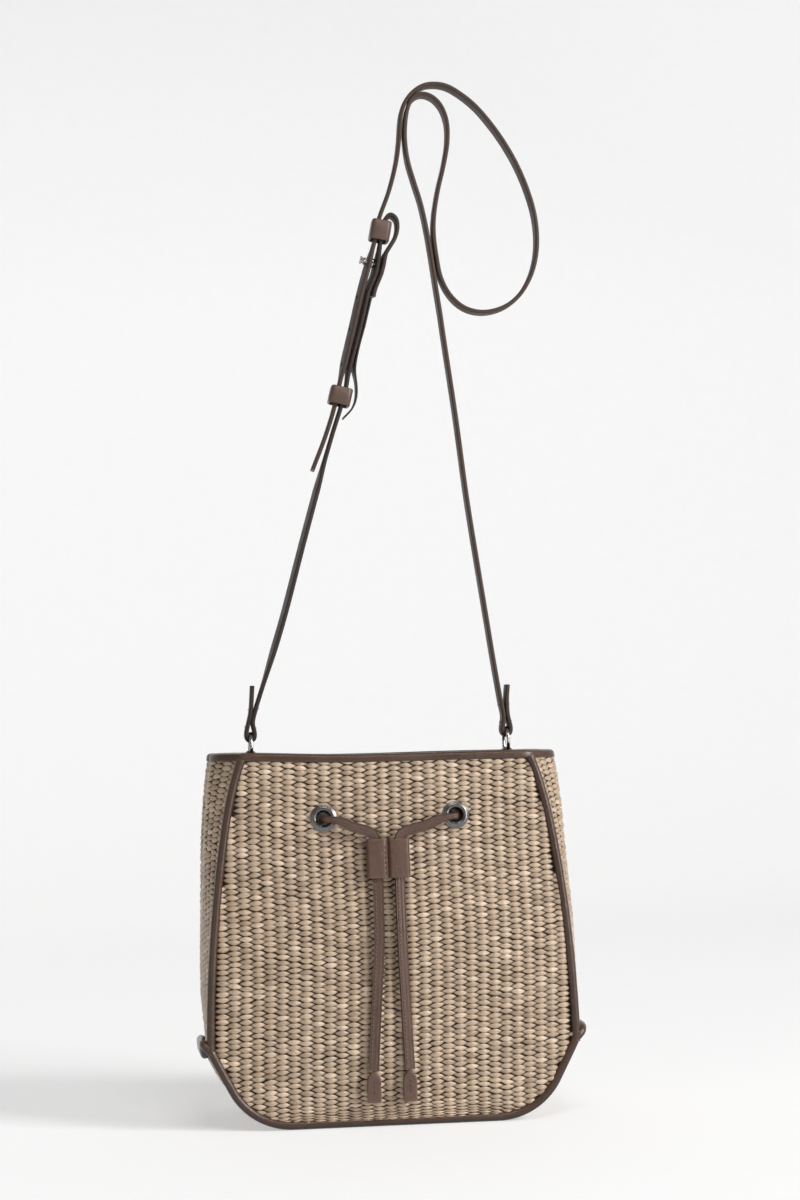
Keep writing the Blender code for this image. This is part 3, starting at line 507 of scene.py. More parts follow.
FRONT_SHARES = np.linspace(-1.0, 1.0, 41)
SIDE_SHARES = np.linspace(-1.0, 1.0, 49)
RING_INDEX = np.arange(2 * (len(FRONT_SHARES) - 1 + len(SIDE_SHARES) - 1))


def body_ring(z, offset):
    """The bag's horizontal outline at one height, as (x, y) going round, moved out by offset."""
    width, depth = float(half_width(z)), seam_half_depth(z)
    x = FRONT_SHARES[:-1] * width
    front = np.column_stack([x, -panel_half_depth(x, z)])
    y = SIDE_SHARES[:-1] * depth
    side = np.column_stack([gusset_x(y, z) if z > SEAM_FOOT_Z else np.full(len(y), width), y])
    quarter = np.vstack([front, side])
    ring = np.vstack([quarter, -quarter])
    return ring + np.asarray(offset).reshape(-1, 1) * ring_normals(ring)


def ring_normals(ring):
    """Outward mitred normals of a closed outline that goes round anticlockwise."""
    ahead = unit(np.roll(ring, -1, axis=0) - ring)
    behind = np.roll(ahead, 1, axis=0)
    middle = unit(ahead + behind)
    stretch = 1 / np.maximum(0.75, (middle * ahead).sum(axis=1))
    return np.column_stack([middle[:, 1], -middle[:, 0]]) * stretch[:, None]


def base_outline():
    """The base's profile as (x, z, outward x, outward z, share of the way to the end), right half."""
    outline = [(x, OUTLINE_Z, 0.0, -1.0, 0.0) for x in np.linspace(0.0, FLAT_HALF_WIDTH, 12)[:-1]]
    for share in np.linspace(0.0, 1.0, 16):
        a = FLANK_ANGLE * share
        x, z = FLAT_HALF_WIDTH + CORNER_RADIUS * math.sin(a), CORNER_Z - CORNER_RADIUS * math.cos(a)
        outline.append((x, z, math.sin(a), -math.cos(a), share))
    for z in np.linspace(outline[-1][1], BASE_END_Z, 8)[1:]:
        outline.append((float(flank_half_width(z)), z, math.sin(FLANK_ANGLE), -math.cos(FLANK_ANGLE), 1.0))
    return outline


def eyelet_place(x_side, y_side):
    """A frame on the panel's face at an eyelet, whose Z axis points out of the bag."""
    slope_x, slope_z = slopes(panel_half_depth, EYE_X, EYE_Z, 2.0)
    outward = Vector((-x_side * slope_x, y_side, -slope_z)).normalized()
    turn = Vector((0, 0, 1)).rotation_difference(outward).to_matrix().to_4x4()
    depth = panel_half_depth(EYE_X, EYE_Z)
    return Matrix.Translation((x_side * EYE_X, y_side * depth, EYE_Z)) @ turn


# ---- materials ----

class Finish:
    """A material in the making. Its methods add nodes and pass on their outputs."""

    def __init__(self, name):
        self.material = bpy.data.materials.new(name)
        self.material.use_nodes = True
        self.tree = self.material.node_tree
        self.place = self.node("ShaderNodeTexCoord")["Object"]

    def feed(self, inputs, values):
        """Sets inputs, by name or number, each to a number, a colour or another node's output."""
        for key, value in values.items():
            socket = inputs[key]
            if isinstance(value, bpy.types.NodeSocket):
                self.tree.links.new(value, socket)
            elif socket.type == "RGBA":
                socket.default_value = (*value, 1.0)
            else:
                socket.default_value = value

    def node(self, kind, values=None, **settings):
        """The outputs of a new node with these settings and input values."""
        made = self.tree.nodes.new(kind)
        for key, value in settings.items():
            setattr(made, key, value)
        self.feed(made.inputs, values or {})
        return made.outputs

    def attribute(self, name):
        return self.node("ShaderNodeAttribute", attribute_name=name)["Vector"]

    def parts(self, vector):
        return self.node("ShaderNodeSeparateXYZ", {0: vector})

    def noise(self, scale, detail, roughness=0.5, at=None):
        values = {"Vector": at or self.place, "Scale": scale, "Detail": detail, "Roughness": roughness}
        return self.node("ShaderNodeTexNoise", values)[0]

    def wave(self, scale, distortion):
        values = {"Vector": self.place, "Scale": scale, "Distortion": distortion}
        return self.node("ShaderNodeTexWave", values, bands_direction="DIAGONAL")[0]

    def size(self, value):
        """The value without its sign."""
        return self.node("ShaderNodeMath", {0: value}, operation="ABSOLUTE")[0]

    def ranged(self, value, low, high, to_low, to_high):
        """The value carried over from one range to another, and held inside it."""
        return self.node("ShaderNodeMapRange", {0: value, 1: low, 2: high, 3: to_low, 4: to_high})[0]

    def ramp(self, value, *stops):
        """A colour for the value, blended between stops of (value, colour)."""
        ramp = self.tree.nodes.new("ShaderNodeValToRGB")
        elements = ramp.color_ramp.elements
        elements[0].position, elements[0].color = stops[0][0], (*stops[0][1], 1.0)
        elements[1].position, elements[1].color = stops[-1][0], (*stops[-1][1], 1.0)
        for position, colour in stops[1:-1]:
            elements.new(position).color = (*colour, 1.0)
        self.feed(ramp.inputs, {0: value})
        return ramp.outputs[0]

    def mixed(self, blend, factor, first, second):
        values = {0: factor, 6: first, 7: second}
        return self.node("ShaderNodeMix", values, data_type="RGBA", blend_type=blend)[2]

    def bumped(self, height, distance_mm, strength=1.0, onto=None):
        values = {"Strength": strength, "Distance": distance_mm * MM, "Height": height}
        if onto:
            values["Normal"] = onto
        return self.node("ShaderNodeBump", values)[0]

    def done(self, values):
        """Sets the surface shader's inputs and gives the material."""
        self.feed(self.tree.nodes["Principled BSDF"].inputs, values)
        return self.material


def raffia():
    """Split palm straw: tan floats with lighter and darker straws, streaks along them, a soft shine, and
    painted shade towards each float's tips and long edges.
    """
    made = Finish("woven_raffia")
    fibre = made.attribute("fibre")
    along, across, straw = made.parts(fibre)
    straws = made.ramp(straw, (0.0, (0.33, 0.235, 0.155)), (0.25, (0.42, 0.305, 0.207)),
                       (0.7, (0.46, 0.337, 0.23)), (0.9, (0.52, 0.385, 0.27)), (1.0, (0.63, 0.485, 0.355)))
    stretched = made.node("ShaderNodeVectorMath", {0: fibre, 1: (0.22, 2.6, 97.0)}, operation="MULTIPLY")[0]
    streaks = made.noise(1.0, 4.0, 0.6, stretched)
    streak_tones = made.ramp(streaks, (0.28, (0.62, 0.57, 0.50)), (0.5, (0.95, 0.94, 0.92)),
                             (0.75, (1.12, 1.11, 1.10)))
    colour = made.mixed("MULTIPLY", 1.0, straws, streak_tones)
    # Painted shade: each float darkens towards its tips and its long edges, where it dives under its
    # neighbours.
    for part, start, end, most in ((along, 2.9, 4.6, 0.88), (across, 1.3, 1.8, 0.8)):
        shaded = made.ranged(made.size(part), start, end, 0.0, most)
        colour = made.mixed("MIX", shaded, colour, (0.085, 0.052, 0.030))
    return made.done({
        "Base Color": colour,
        "Roughness": made.ranged(streaks, 0.3, 0.7, 0.40, 0.22),
        "Normal": made.bumped(streaks, 0.35, 0.8),
        "Specular IOR Level": 0.9,
        "Sheen Weight": 0.05,
        "Sheen Roughness": 0.4,
    })


def painted_shade_straw():
    """The weave's inner straws, painted almost black as painted shade, seen only in the gaps between the
    floats.
    """
    made = Finish("inner_straw_painted_shade")
    noise = made.noise(900.0, 3.0)
    return made.done({
        "Base Color": made.ramp(noise, (0.3, (0.014, 0.009, 0.006)), (0.7, (0.045, 0.029, 0.018))),
        "Normal": made.bumped(noise, 0.3),
        "Roughness": 0.8,
    })


def leather(name, colour, worn, roughness, grain_depth=0.05, edge_colour=None, coat=0.0, underside=1.0):
    """Calf leather: a fine pebbled grain, cloudy colour, lighter worn ridges, and painted edges on a band.

    underside is the share of its colour that it keeps where it faces down, as painted shade."""
    made = Finish(name)
    clouds = made.noise(45.0, 5.0, 0.6)
    pores = made.noise(2600.0, 4.0, 0.7)
    pebbles = made.node("ShaderNodeTexVoronoi", {"Vector": made.place, "Scale": 1.0 / (GRAIN_SIZE * MM)},
                        feature="DISTANCE_TO_EDGE")["Distance"]
    geometry = made.node("ShaderNodeNewGeometry")
    dark = tuple(c * 0.72 for c in colour)
    tones = made.ramp(clouds, (0.3, dark), (0.7, colour))
    ridges = made.ranged(geometry["Pointiness"], 0.52, 0.62, 0.0, 0.65)
    result = made.mixed("MIX", ridges, tones, worn)
    result = made.mixed("MULTIPLY", 1.0, result, made.ranged(pores, 0.35, 0.65, 0.88, 1.1))
    if edge_colour:
        across = made.size(made.parts(made.attribute("band"))["Y"])
        result = made.mixed("MIX", made.ranged(across, 0.84, 0.92, 0.0, 1.0), result, edge_colour)
    # Painted shade: faces that look down keep only the underside share of their colour, as if in shadow.
    if underside < 1.0:
        upwards = made.parts(geometry["Normal"])["Z"]
        result = made.mixed("MULTIPLY", 1.0, result, made.ranged(upwards, -0.7, 0.25, underside, 1.0))
    creased = made.bumped(clouds, 0.8, 0.5)
    pebbled = made.bumped(made.ranged(pebbles, 0.0, 0.12, 0.0, 1.0), grain_depth, 0.6, creased)
    return made.done({
        "Base Color": result,
        "Roughness": made.ranged(clouds, 0.3, 0.7, roughness - 0.06, roughness + 0.1),
        "Normal": made.bumped(pores, 0.05, 0.7, pebbled),
        "Specular IOR Level": 0.35,
        "Coat Weight": coat,
        "Coat Roughness": 0.3,
    })


def metal(name, colour, roughness):
    """Plated zinc: fine polishing haze, faint scratches and a little dulling."""
    made = Finish(name)
    haze = made.noise(320.0, 6.0, 0.65)
    return made.done({
        "Base Color": made.ramp(haze, (0.3, tuple(c * 0.82 for c in colour)), (0.7, colour)),
        "Roughness": made.ranged(haze, 0.3, 0.75, roughness * 0.7, roughness * 1.5),
        "Normal": made.bumped(made.noise(1500.0, 2.0), 0.004, 0.3),
        "Metallic": 1.0,
    })


def twill():
    """Cotton twill lining: fine diagonal ribs over a dark brown ground."""
    made = Finish("lining_twill")
    ribs = made.wave(260.0, 0.6)
    blend = made.mixed("MIX", 0.4, ribs, made.noise(700.0, 4.0))
    return made.done({
        "Base Color": made.ramp(blend, (0.2, (0.060, 0.042, 0.031)), (0.8, (0.125, 0.092, 0.070))),
        "Normal": made.bumped(ribs, 0.12, 0.8),
        "Roughness": 0.85,
        "Sheen Weight": 0.15,
    })


def fibreboard():
    """Grey board with flecks of fibre."""
    made = Finish("fibreboard")
    flecks = made.noise(600.0, 6.0, 0.8)
    return made.done({
        "Base Color": made.ramp(flecks, (0.3, (0.17, 0.155, 0.135)), (0.7, (0.33, 0.31, 0.275))),
        "Normal": made.bumped(flecks, 0.15),
        "Roughness": 0.9,
    })


def thread(name, dark, light):
    """Waxed thread with its twist."""
    made = Finish(name)
    twist = made.wave(900.0, 0.4)
    return made.done({
        "Base Color": made.ramp(twist, (0.1, dark), (0.9, light)),
        "Normal": made.bumped(twist, 0.06),
        "Roughness": 0.5,
        "Sheen Weight": 0.1,
    })


def paper():
    """White studio paper. Its faint glow evens out the floor and the backdrop."""
    made = Finish("paper_sweep")
    tooth = made.noise(60.0, 3.0)
    slope = made.node("ShaderNodeVectorMath", {0: made.place, 1: GLOW_SLOPE}, operation="DOT_PRODUCT")
    glow = made.node("ShaderNodeMath", {0: slope["Value"], 1: GLOW_MIDDLE}, operation="ADD")[0]
    return made.done({
        "Base Color": made.ramp(tooth, (0.3, (0.595, 0.595, 0.595)), (0.7, (0.605, 0.605, 0.605))),
        "Roughness": 0.9,
        "Specular IOR Level": 0.1,
        "Emission Color": (1.0, 1.0, 1.0),
        "Emission Strength": made.node("ShaderNodeClamp", {0: glow, "Min": 0.27, "Max": 0.46})[0],
    })


RAFFIA = raffia()
# A near-black sheet of painted shade behind the floats, seen through their gaps.
PAINTED_SHADE_STRAW = painted_shade_straw()
# The trim leather is painted darker where it faces down: painted shade under the rim, piping and tabs.
TRIM = leather("trim_leather", (0.074, 0.038, 0.023), (0.15, 0.092, 0.062), 0.24, coat=0.25, underside=0.12)
STRING = leather("string_leather", (0.112, 0.060, 0.040), (0.235, 0.150, 0.112), 0.30, grain_depth=0.22,
                 coat=0.2, edge_colour=(0.045, 0.026, 0.019))
STRAP = leather("strap_leather", (0.047, 0.025, 0.017), (0.11, 0.070, 0.051), 0.46, grain_depth=0.15,
                edge_colour=(0.026, 0.016, 0.012))
KEEPER = leather("keeper_leather", (0.090, 0.053, 0.037), (0.175, 0.115, 0.087), 0.36, grain_depth=0.08,
                 coat=0.1)
GUNMETAL = metal("gunmetal_plating", (0.21, 0.205, 0.20), 0.27)
NICKEL = metal("dark_nickel_plating", (0.50, 0.49, 0.47), 0.15)
LINING = twill()
BOARD = fibreboard()
BURGUNDY_THREAD = thread("burgundy_thread", (0.060, 0.012, 0.012), (0.15, 0.040, 0.035))
# The string stitches' thread, lightened as a painted highlight on the stitches.
HIGHLIT_THREAD = thread("thread_painted_highlight", (0.16, 0.095, 0.075), (0.34, 0.22, 0.18))


# ---- raffia panels ----

def float_template():
    """One float as (along, across, height) on a grid, in shares of its half-length and half-height."""
    along = np.array((-1.0, -0.8, -0.55, -0.28, 0.0, 0.28, 0.55, 0.8, 1.0))
    across = np.array((-1.0, -0.72, -0.25, 0.25, 0.72, 1.0))
    fall = np.array((1.0, 0.30, 0.03, 0.03, 0.30, 1.0))
    a, b = np.meshgrid(along, across, indexing="ij")
    drop = fall * (0.62 + 0.75 * np.abs(a))
    return a.ravel(), b.ravel(), drop.ravel(), len(along), len(across)


def weave(name, surface, tuck, press, inside, across, up, seed):
    """Leaf-shaped raffia floats in brick-offset columns over a surface, tucked in at its edges.

    surface gives points and outward normals, tuck pulls points back inside the outline, press says how far
    the straw may stand up, and inside keeps the floats whose centres are in the outline, all as functions of
    (across, up) in millimetres along the surface."""
    rng = np.random.default_rng(seed)
    columns = []
    count = int(round((across[1] - across[0]) / COLUMN_PITCH))
    for c, s in enumerate(across[0] + (np.arange(count) + 0.5) * (across[1] - across[0]) / count):
        rows = np.arange(up[0] + ROW_PITCH / 2 * (c % 2), up[1], ROW_PITCH)
        columns.append(np.column_stack([np.full(len(rows), s), rows]))
    centres = np.vstack(columns)
    s, t = centres.T
    s = s + 0.7 * np.sin(t / 21.0 + seed) + rng.normal(0.0, 0.12, len(s))
    t = t + 0.8 * np.sin(s / 19.0 + seed) + rng.normal(0.0, 0.13, len(t))
    s, t = inside(s, t)
    total = len(s)
    a, b, drop, rows, size = float_template()
    length = FLOAT_HALF_LENGTH * rng.uniform(0.93, 1.08, (total, 1))
    height = FLOAT_HALF_HEIGHT * rng.uniform(0.90, 1.10, (total, 1))
    lean = np.radians(rng.normal(0.0, 2.6, (total, 1)))
    bow = rng.normal(0.0, 0.16, (total, 1))
    roll = rng.normal(0.0, 0.16, (total, 1))
    twist = rng.normal(0.10, 0.22, (total, 1))
    lift = rng.normal(0.0, 0.10, (total, 1))
    width_share = 0.05 + 0.95 * (1 - np.abs(a) ** 1.5)[None, :]
    local_s = length * a
    local_t = height * width_share * b + bow * a ** 2
    crest = FLOAT_CREST + lift - FLOAT_DIVE * np.abs(a) ** 1.3
    raised = crest - drop * width_share + roll * b * width_share + twist * a * b * width_share
    points_s = s[:, None] + local_s * np.cos(lean) - local_t * np.sin(lean)
    points_t = t[:, None] + local_s * np.sin(lean) + local_t * np.cos(lean)
    points_s, points_t = tuck(points_s, points_t)
    raised = np.minimum(raised, press(points_s, points_t) + 0.25 * (raised - FLOAT_CREST))
    points, normals = surface(points_s, points_t)
    points = (points + normals * raised[..., None]).reshape(-1, 3)
    quads = np.array(band_faces(rows, size))
    faces = (quads[None] + (np.arange(total) * rows * size)[:, None, None]).reshape(-1, 4).tolist()
    obj = mesh_object(name, points, faces, RAFFIA, sharp_degrees=0, tidy=False)
    fibre = np.stack(np.broadcast_arrays(local_s, height * b, rng.uniform(0.0, 1.0, (total, 1))), -1)
    point_attribute(obj, "fibre", fibre.reshape(-1, 3))
    return obj


def kept_by(tuck):
    """Keeps the floats whose centres tuck hardly moves."""
    def inside(s, t):
        moved_s, moved_t = tuck(s, t)
        kept = np.hypot(moved_s - s, moved_t - t) < 1.5
        return s[kept], t[kept]
    return inside


def inside_panel(x, z):
    """The floats of the front or back, apart from those that would cross an eyelet's hole.

    The crowded rows reach past the lower edge before they are pushed up."""
    moved_x, moved_z = tuck_panel(x, z)
    across_hole = ((np.abs(x) - EYE_X) / 6.0) ** 2 + ((z - EYE_Z) / 4.5) ** 2 < 1
    kept = (np.hypot(moved_x - x, moved_z - crowded_rows(x, z)) < 1.3) & ~across_hole
    return x[kept], z[kept]


def soft_limit(value, limit, give=1.1):
    """Values above the limit are squeezed into a short stretch past it."""
    over = np.maximum(0.0, value - limit)
    return np.minimum(value, limit) + give * (1 - np.exp(-over / give))


def crowded_rows(x, z):
    """The last rows above the base piping are pushed together, to under half of their height."""
    reach, crowding, floor = 13.0, 0.52, OUTLINE_Z + BASE_PIPING_RADIUS
    below = np.maximum(0.0, reach - (z - floor))
    eased = np.minimum(below, reach)
    pushed = eased - crowding * eased ** 2 / (2 * reach) + (1 - crowding) * (below - eased)
    share = 1 - smooth_step((np.abs(x) - FLAT_HALF_WIDTH + 8.0) / 26.0)
    return z + (below - pushed) * share


def tuck_panel(x, z):
    """Pulls the front's or back's straws in under the seam, base piping and rim."""
    radius = CORNER_RADIUS - STRAW_INSET
    z = crowded_rows(x, z)
    z = np.where(np.abs(x) <= FLAT_HALF_WIDTH, -soft_limit(-z, -(OUTLINE_Z + STRAW_INSET)), z)
    from_x, from_z = np.abs(x) - FLAT_HALF_WIDTH, z - CORNER_Z
    distance = np.hypot(from_x, from_z)
    in_corner = (from_x > 0) & (from_z < -radius * math.cos(FLANK_ANGLE))
    scale = np.where(in_corner, soft_limit(distance, radius) / np.maximum(distance, 1.0), 1.0)
    x = np.where(in_corner, np.sign(x) * (FLAT_HALF_WIDTH + from_x * scale), x)
    z = np.where(in_corner, CORNER_Z + from_z * scale, z)
    limit = np.minimum(seam_half_width(z) - SEAM_PIPING_RADIUS - 0.4, flank_half_width(z, STRAW_INSET))
    x = np.where(in_corner, x, np.sign(x) * soft_limit(np.abs(x), limit))
    return x, soft_limit(z, STRAW_TOP_Z)


def press_panel(x, z):
    """How high the straw may stand: it is pressed down under the eyelets and the rim."""
    distance = np.hypot(np.abs(x) - EYE_X, z - EYE_Z)
    near_eyelet = smooth_step((distance - EYELET_FLANGE - 0.3) / 2.2)
    near_rim = smooth_step((STRAW_TOP_Z - z) / 3.0)
    return PRESSED_HEIGHT + FREE_RISE * np.minimum(near_eyelet, near_rim)


def panel_surface(side):
    """The front's face for side -1, or the back's for side 1, as a function of x and z."""
    def surface(x, z):
        slope_x, slope_z = slopes(panel_half_depth, x, z, 0.5)
        normals = np.stack([-slope_x, np.full_like(x, side), -np.clip(slope_z, -0.8, 0.8)], -1)
        return np.stack([x, side * panel_half_depth(x, z), z], -1), unit(normals)
    return surface


def slab(name, grid, normals, level, finish):
    """A closed sheet below a surface's grid of points, from level down by the backing's thickness."""
    rows, columns = grid.shape[:2]
    outer = grid + normals * level
    inner = grid + normals * (level - BACKING_THICKNESS)
    points = np.vstack([outer.reshape(-1, 3), inner.reshape(-1, 3)])
    size = rows * columns
    faces = band_faces(rows, columns) + band_faces(rows, columns, first=size)
    border = [(0, j) for j in range(columns)] + [(i, columns - 1) for i in range(1, rows)]
    border += [(rows - 1, j) for j in range(columns - 2, -1, -1)] + [(i, 0) for i in range(rows - 2, 0, -1)]
    flat = [i * columns + j for i, j in border]
    for first, second in zip(flat, flat[1:] + flat[:1]):
        faces.append([first, second, second + size, first + size])
    return mesh_object(name, points, faces, finish, sharp_degrees=0)


def eyelet_cutters(y_side):
    """Rods through the front's or the back's two eyelets."""
    cutters = []
    for x_side in (-1, 1):
        profile = ((0.05, -8.0), (EYELET_BARREL + 0.15, -8.0), (EYELET_BARREL + 0.15, 5.0), (0.05, 5.0))
        cutters.append(turned_solid("cutter", profile, 32, PAINTED_SHADE_STRAW, eyelet_place(x_side, y_side)))
    return cutters


def clear_of_eyelets(tuck):
    """The straws also end round each eyelet's barrel."""
    nearest = EYELET_BARREL + 0.2

    def wrapped(x, z):
        x, z = tuck(x, z)
        from_x, from_z = np.abs(x) - EYE_X, z - EYE_Z
        distance = np.maximum(np.hypot(from_x, from_z), 0.01)
        spread = nearest + (EYELET_FLANGE - nearest) * distance / EYELET_FLANGE
        reach = np.where(distance < EYELET_FLANGE, spread, distance)
        return np.sign(x) * (EYE_X + from_x * reach / distance), EYE_Z + from_z * reach / distance
    return wrapped


def main_panel(label, side, seed):
    """The front or back: its floats, and the dark layer of painted shade behind them."""
    surface = panel_surface(float(side))
    obj = weave(f"{label}_weave", surface, clear_of_eyelets(tuck_panel), press_panel, inside_panel,
                (-112.0, 112.0), (-14.0, 216.0), seed)
    rows = []
    radius = CORNER_RADIUS - STRAW_INSET
    for a in np.linspace(0.0, FLANK_ANGLE, 12):
        rows.append((CORNER_Z - radius * math.cos(a), FLAT_HALF_WIDTH + radius * math.sin(a)))
    for z in np.linspace(27.0, 216.0, 60):
        seam = seam_half_width(z) - SEAM_PIPING_RADIUS + 0.4
        rows.append((z, min(seam, float(flank_half_width(z, STRAW_INSET)))))
    z, half = np.array(rows).T[..., None]
    z, x = z + np.zeros(61), half * np.linspace(-1.0, 1.0, 61)
    backing = slab(f"{label}_backing", *surface(x, z), BACKING_LEVEL, PAINTED_SHADE_STRAW)
    punch(backing, eyelet_cutters(side))
    return obj, backing


def gusset_table():
    """How far along y each even step of a gusset's folded section reaches, by height."""
    levels = np.linspace(GUSSET_FOOT_Z, RIM_Z, 60)
    shares = np.linspace(-1.0, 1.0, 181)
    steps = np.linspace(-1.0, 1.0, 121)
    table = []
    for z in levels:
        y = shares * seam_half_depth(z)
        x = gusset_x(y, z)
        along = np.concatenate([[0.0], np.cumsum(np.hypot(np.diff(x), np.diff(y)))])
        table.append(np.interp(steps, 2 * along / along[-1] - 1, shares))
    return levels, steps, np.array(table)


GUSSET_LEVELS, GUSSET_STEPS, GUSSET_TABLE = gusset_table()
GUSSET_HALF_ARC = 50.5


def gusset_share(s, z):
    """The share of the half-depth reached at arc length s from the gusset's middle, at height z."""
    level_step, arc_step = GUSSET_LEVELS[1] - GUSSET_LEVELS[0], GUSSET_STEPS[1] - GUSSET_STEPS[0]
    row = np.clip((z - GUSSET_LEVELS[0]) / level_step, 0, len(GUSSET_LEVELS) - 1.001)
    column = np.clip((s / GUSSET_HALF_ARC + 1) / arc_step, 0, len(GUSSET_STEPS) - 1.001)
    i, j = row.astype(int), column.astype(int)
    u, v = row - i, column - j
    low = GUSSET_TABLE[i, j] * (1 - v) + GUSSET_TABLE[i, j + 1] * v
    high = GUSSET_TABLE[i + 1, j] * (1 - v) + GUSSET_TABLE[i + 1, j + 1] * v
    return low * (1 - u) + high * u


def gusset_surface(side):
    """The right gusset stands out more than the left one below the fold, as the soft bag leans."""
    fullness = RIGHT_FULLNESS if side > 0 else LEFT_FULLNESS

    def surface(s, z):
        share = gusset_share(s, z)
        y = share * seam_half_depth(z)
        x = gusset_x(y, z) + fullness * (1 - share ** 2) * (1 - smooth_step((z - 110.0) / 60.0))
        slope_y, slope_z = slopes(gusset_x, y, z, 0.4)
        return np.stack([side * x, y, z], -1), unit(np.stack([np.full_like(x, side), -slope_y, -slope_z], -1))
    return surface


def tuck_gusset(s, z):
    """Pulls a gusset's straws in under the seams, the side piping and the rim."""
    reach = GUSSET_HALF_ARC * (1 - (SEAM_PIPING_RADIUS + 0.1) / BASE_HALF_DEPTH)
    s = np.sign(s) * soft_limit(np.abs(s), reach)
    z = -soft_limit(-z, -(SIDE_PIPING_Z + BASE_PIPING_RADIUS + 0.2))
    return s, soft_limit(z, STRAW_TOP_Z)


def press_gusset(s, z):
    """How high the straw may stand: it is pressed down under the rim."""
    return PRESSED_HEIGHT + FREE_RISE * smooth_step((STRAW_TOP_Z - z) / 3.0)


def gusset(label, side, seed):
    """A side of the bag: its floats, and the dark layer of painted shade behind them."""
    surface = gusset_surface(float(side))
    obj = weave(f"{label}_gusset_weave", surface, tuck_gusset, press_gusset, kept_by(tuck_gusset),
                (-GUSSET_HALF_ARC, GUSSET_HALF_ARC), (52.0, 216.0), seed)
    z = np.linspace(54.0, 216.0, 50)[:, None] + np.zeros(61)
    s = np.zeros((50, 1)) + np.linspace(-1.0, 1.0, 61) * (GUSSET_HALF_ARC - 1.6)
    backing = slab(f"{label}_gusset_backing", *surface(s, z), BACKING_LEVEL, PAINTED_SHADE_STRAW)
    return obj, backing


def base_profile():
    """The base's outer face from end to end: arc lengths, points, outward normals and share to the end."""
    half = base_outline()
    rows = [(-x, z, -nx, nz, share) for x, z, nx, nz, share in half[:0:-1]] + half
    rows = np.array(rows)
    drop = BASE_DROP_FLAT + (BASE_DROP_END - BASE_DROP_FLAT) * rows[:, 4]
    points = rows[:, :2] + rows[:, 2:4] * drop[:, None]
    along = lengths_along(points)
    return along - along[-1] / 2, points, rows[:, 2:4], rows[:, 4]


BASE_ALONG, BASE_POINTS, BASE_NORMALS, BASE_SHARES = base_profile()
BASE_HALF_ARC = BASE_ALONG[-1]


def base_surface(y, t):
    """The base's face at arc length t from its middle, set in by the straw's height to rest on z = 0."""
    x = np.interp(t, BASE_ALONG, BASE_POINTS[:, 0])
    z = np.interp(t, BASE_ALONG, BASE_POINTS[:, 1])
    nx = np.interp(t, BASE_ALONG, BASE_NORMALS[:, 0])
    nz = np.interp(t, BASE_ALONG, BASE_NORMALS[:, 1])
    share = np.interp(t, BASE_ALONG, BASE_SHARES)
    bulge = 1.5 * (1 - (y / BASE_HALF_DEPTH) ** 2) * share ** 3 - FLOAT_CREST - 0.1
    return np.stack([x + nx * bulge, y, z + nz * bulge], -1), np.stack([nx, np.zeros_like(x), nz], -1)


def base_inner_depth(t):
    """Half the base's depth between its pipings, at arc length t."""
    return seam_half_depth(np.interp(t, BASE_ALONG, BASE_POINTS[:, 1])) - BASE_PIPING_RADIUS - 0.4


def tuck_base(y, t):
    """Pulls the base's straws in under its piping."""
    y = np.sign(y) * soft_limit(np.abs(y), base_inner_depth(t), 0.7)
    return y, np.sign(t) * soft_limit(np.abs(t), BASE_HALF_ARC - 0.6, 0.5)


def base_panel():
    """The base with its two ears: its floats, and the dark layer of painted shade behind them."""
    obj = weave("base_weave", base_surface, tuck_base, lambda y, t: np.full_like(y, 1.0), kept_by(tuck_base),
                (-46.0, 46.0), (-BASE_HALF_ARC, BASE_HALF_ARC), 31)
    t = np.linspace(-BASE_HALF_ARC, BASE_HALF_ARC, 90)[:, None] + np.zeros(25)
    y = base_inner_depth(t) * np.linspace(-1.0, 1.0, 25)
    backing = slab("base_backing", *base_surface(y, t), 0.15, PAINTED_SHADE_STRAW)
    return obj, backing


# ---- binding, piping and lining ----

def rim_binding():
    """A leather band folded over the rim, a little wavy where its stitches pull."""
    outer, inner = 1.15, -4.3
    middle, half = (outer + inner) / 2, (outer - inner) / 2
    profile = [(outer - 0.35, BINDING_FOOT_Z + 0.05), (outer, BINDING_FOOT_Z + 0.6)]
    for degrees in range(0, 181, 20):
        a = math.radians(degrees)
        profile.append((middle + half * math.cos(a), RIM_Z - 1.7 + 1.7 * math.sin(a)))
    profile += [(inner, BINDING_FOOT_Z + 0.6), (inner + 0.35, BINDING_FOOT_Z + 0.05)]
    rings = []
    for offset, z in profile:
        wave = 0.10 * np.sin(RING_INDEX * 0.9) + 0.08 * np.sin(RING_INDEX * 0.37 + 1.0)
        outline = body_ring(z, offset + wave * np.sign(offset - middle))
        lift = 0.18 * np.sin(RING_INDEX * 0.21 + 0.5) * (z > BINDING_FOOT_Z + 1.0)
        rings.append(np.column_stack([outline, z - 0.18 + lift]))
    sections = np.array(rings).transpose(1, 0, 2)
    return swept("rim_leather", sections, TRIM, closed=True, sharp_degrees=60.0)


def seam_piping(name, x_side, y_side):
    """Leather over a cord, with its joins tucked under the rim and behind the ear."""
    z = np.linspace(45.0, BINDING_FOOT_Z + 0.8, 140)
    path = np.column_stack([x_side * seam_half_width(z), y_side * seam_half_depth(z), z])
    wobble = SEAM_PIPING_RADIUS + 0.15 + 0.07 * np.sin(z / 2.9) * np.sin(z / 7.1)
    return tube(name, path, wobble, TRIM)


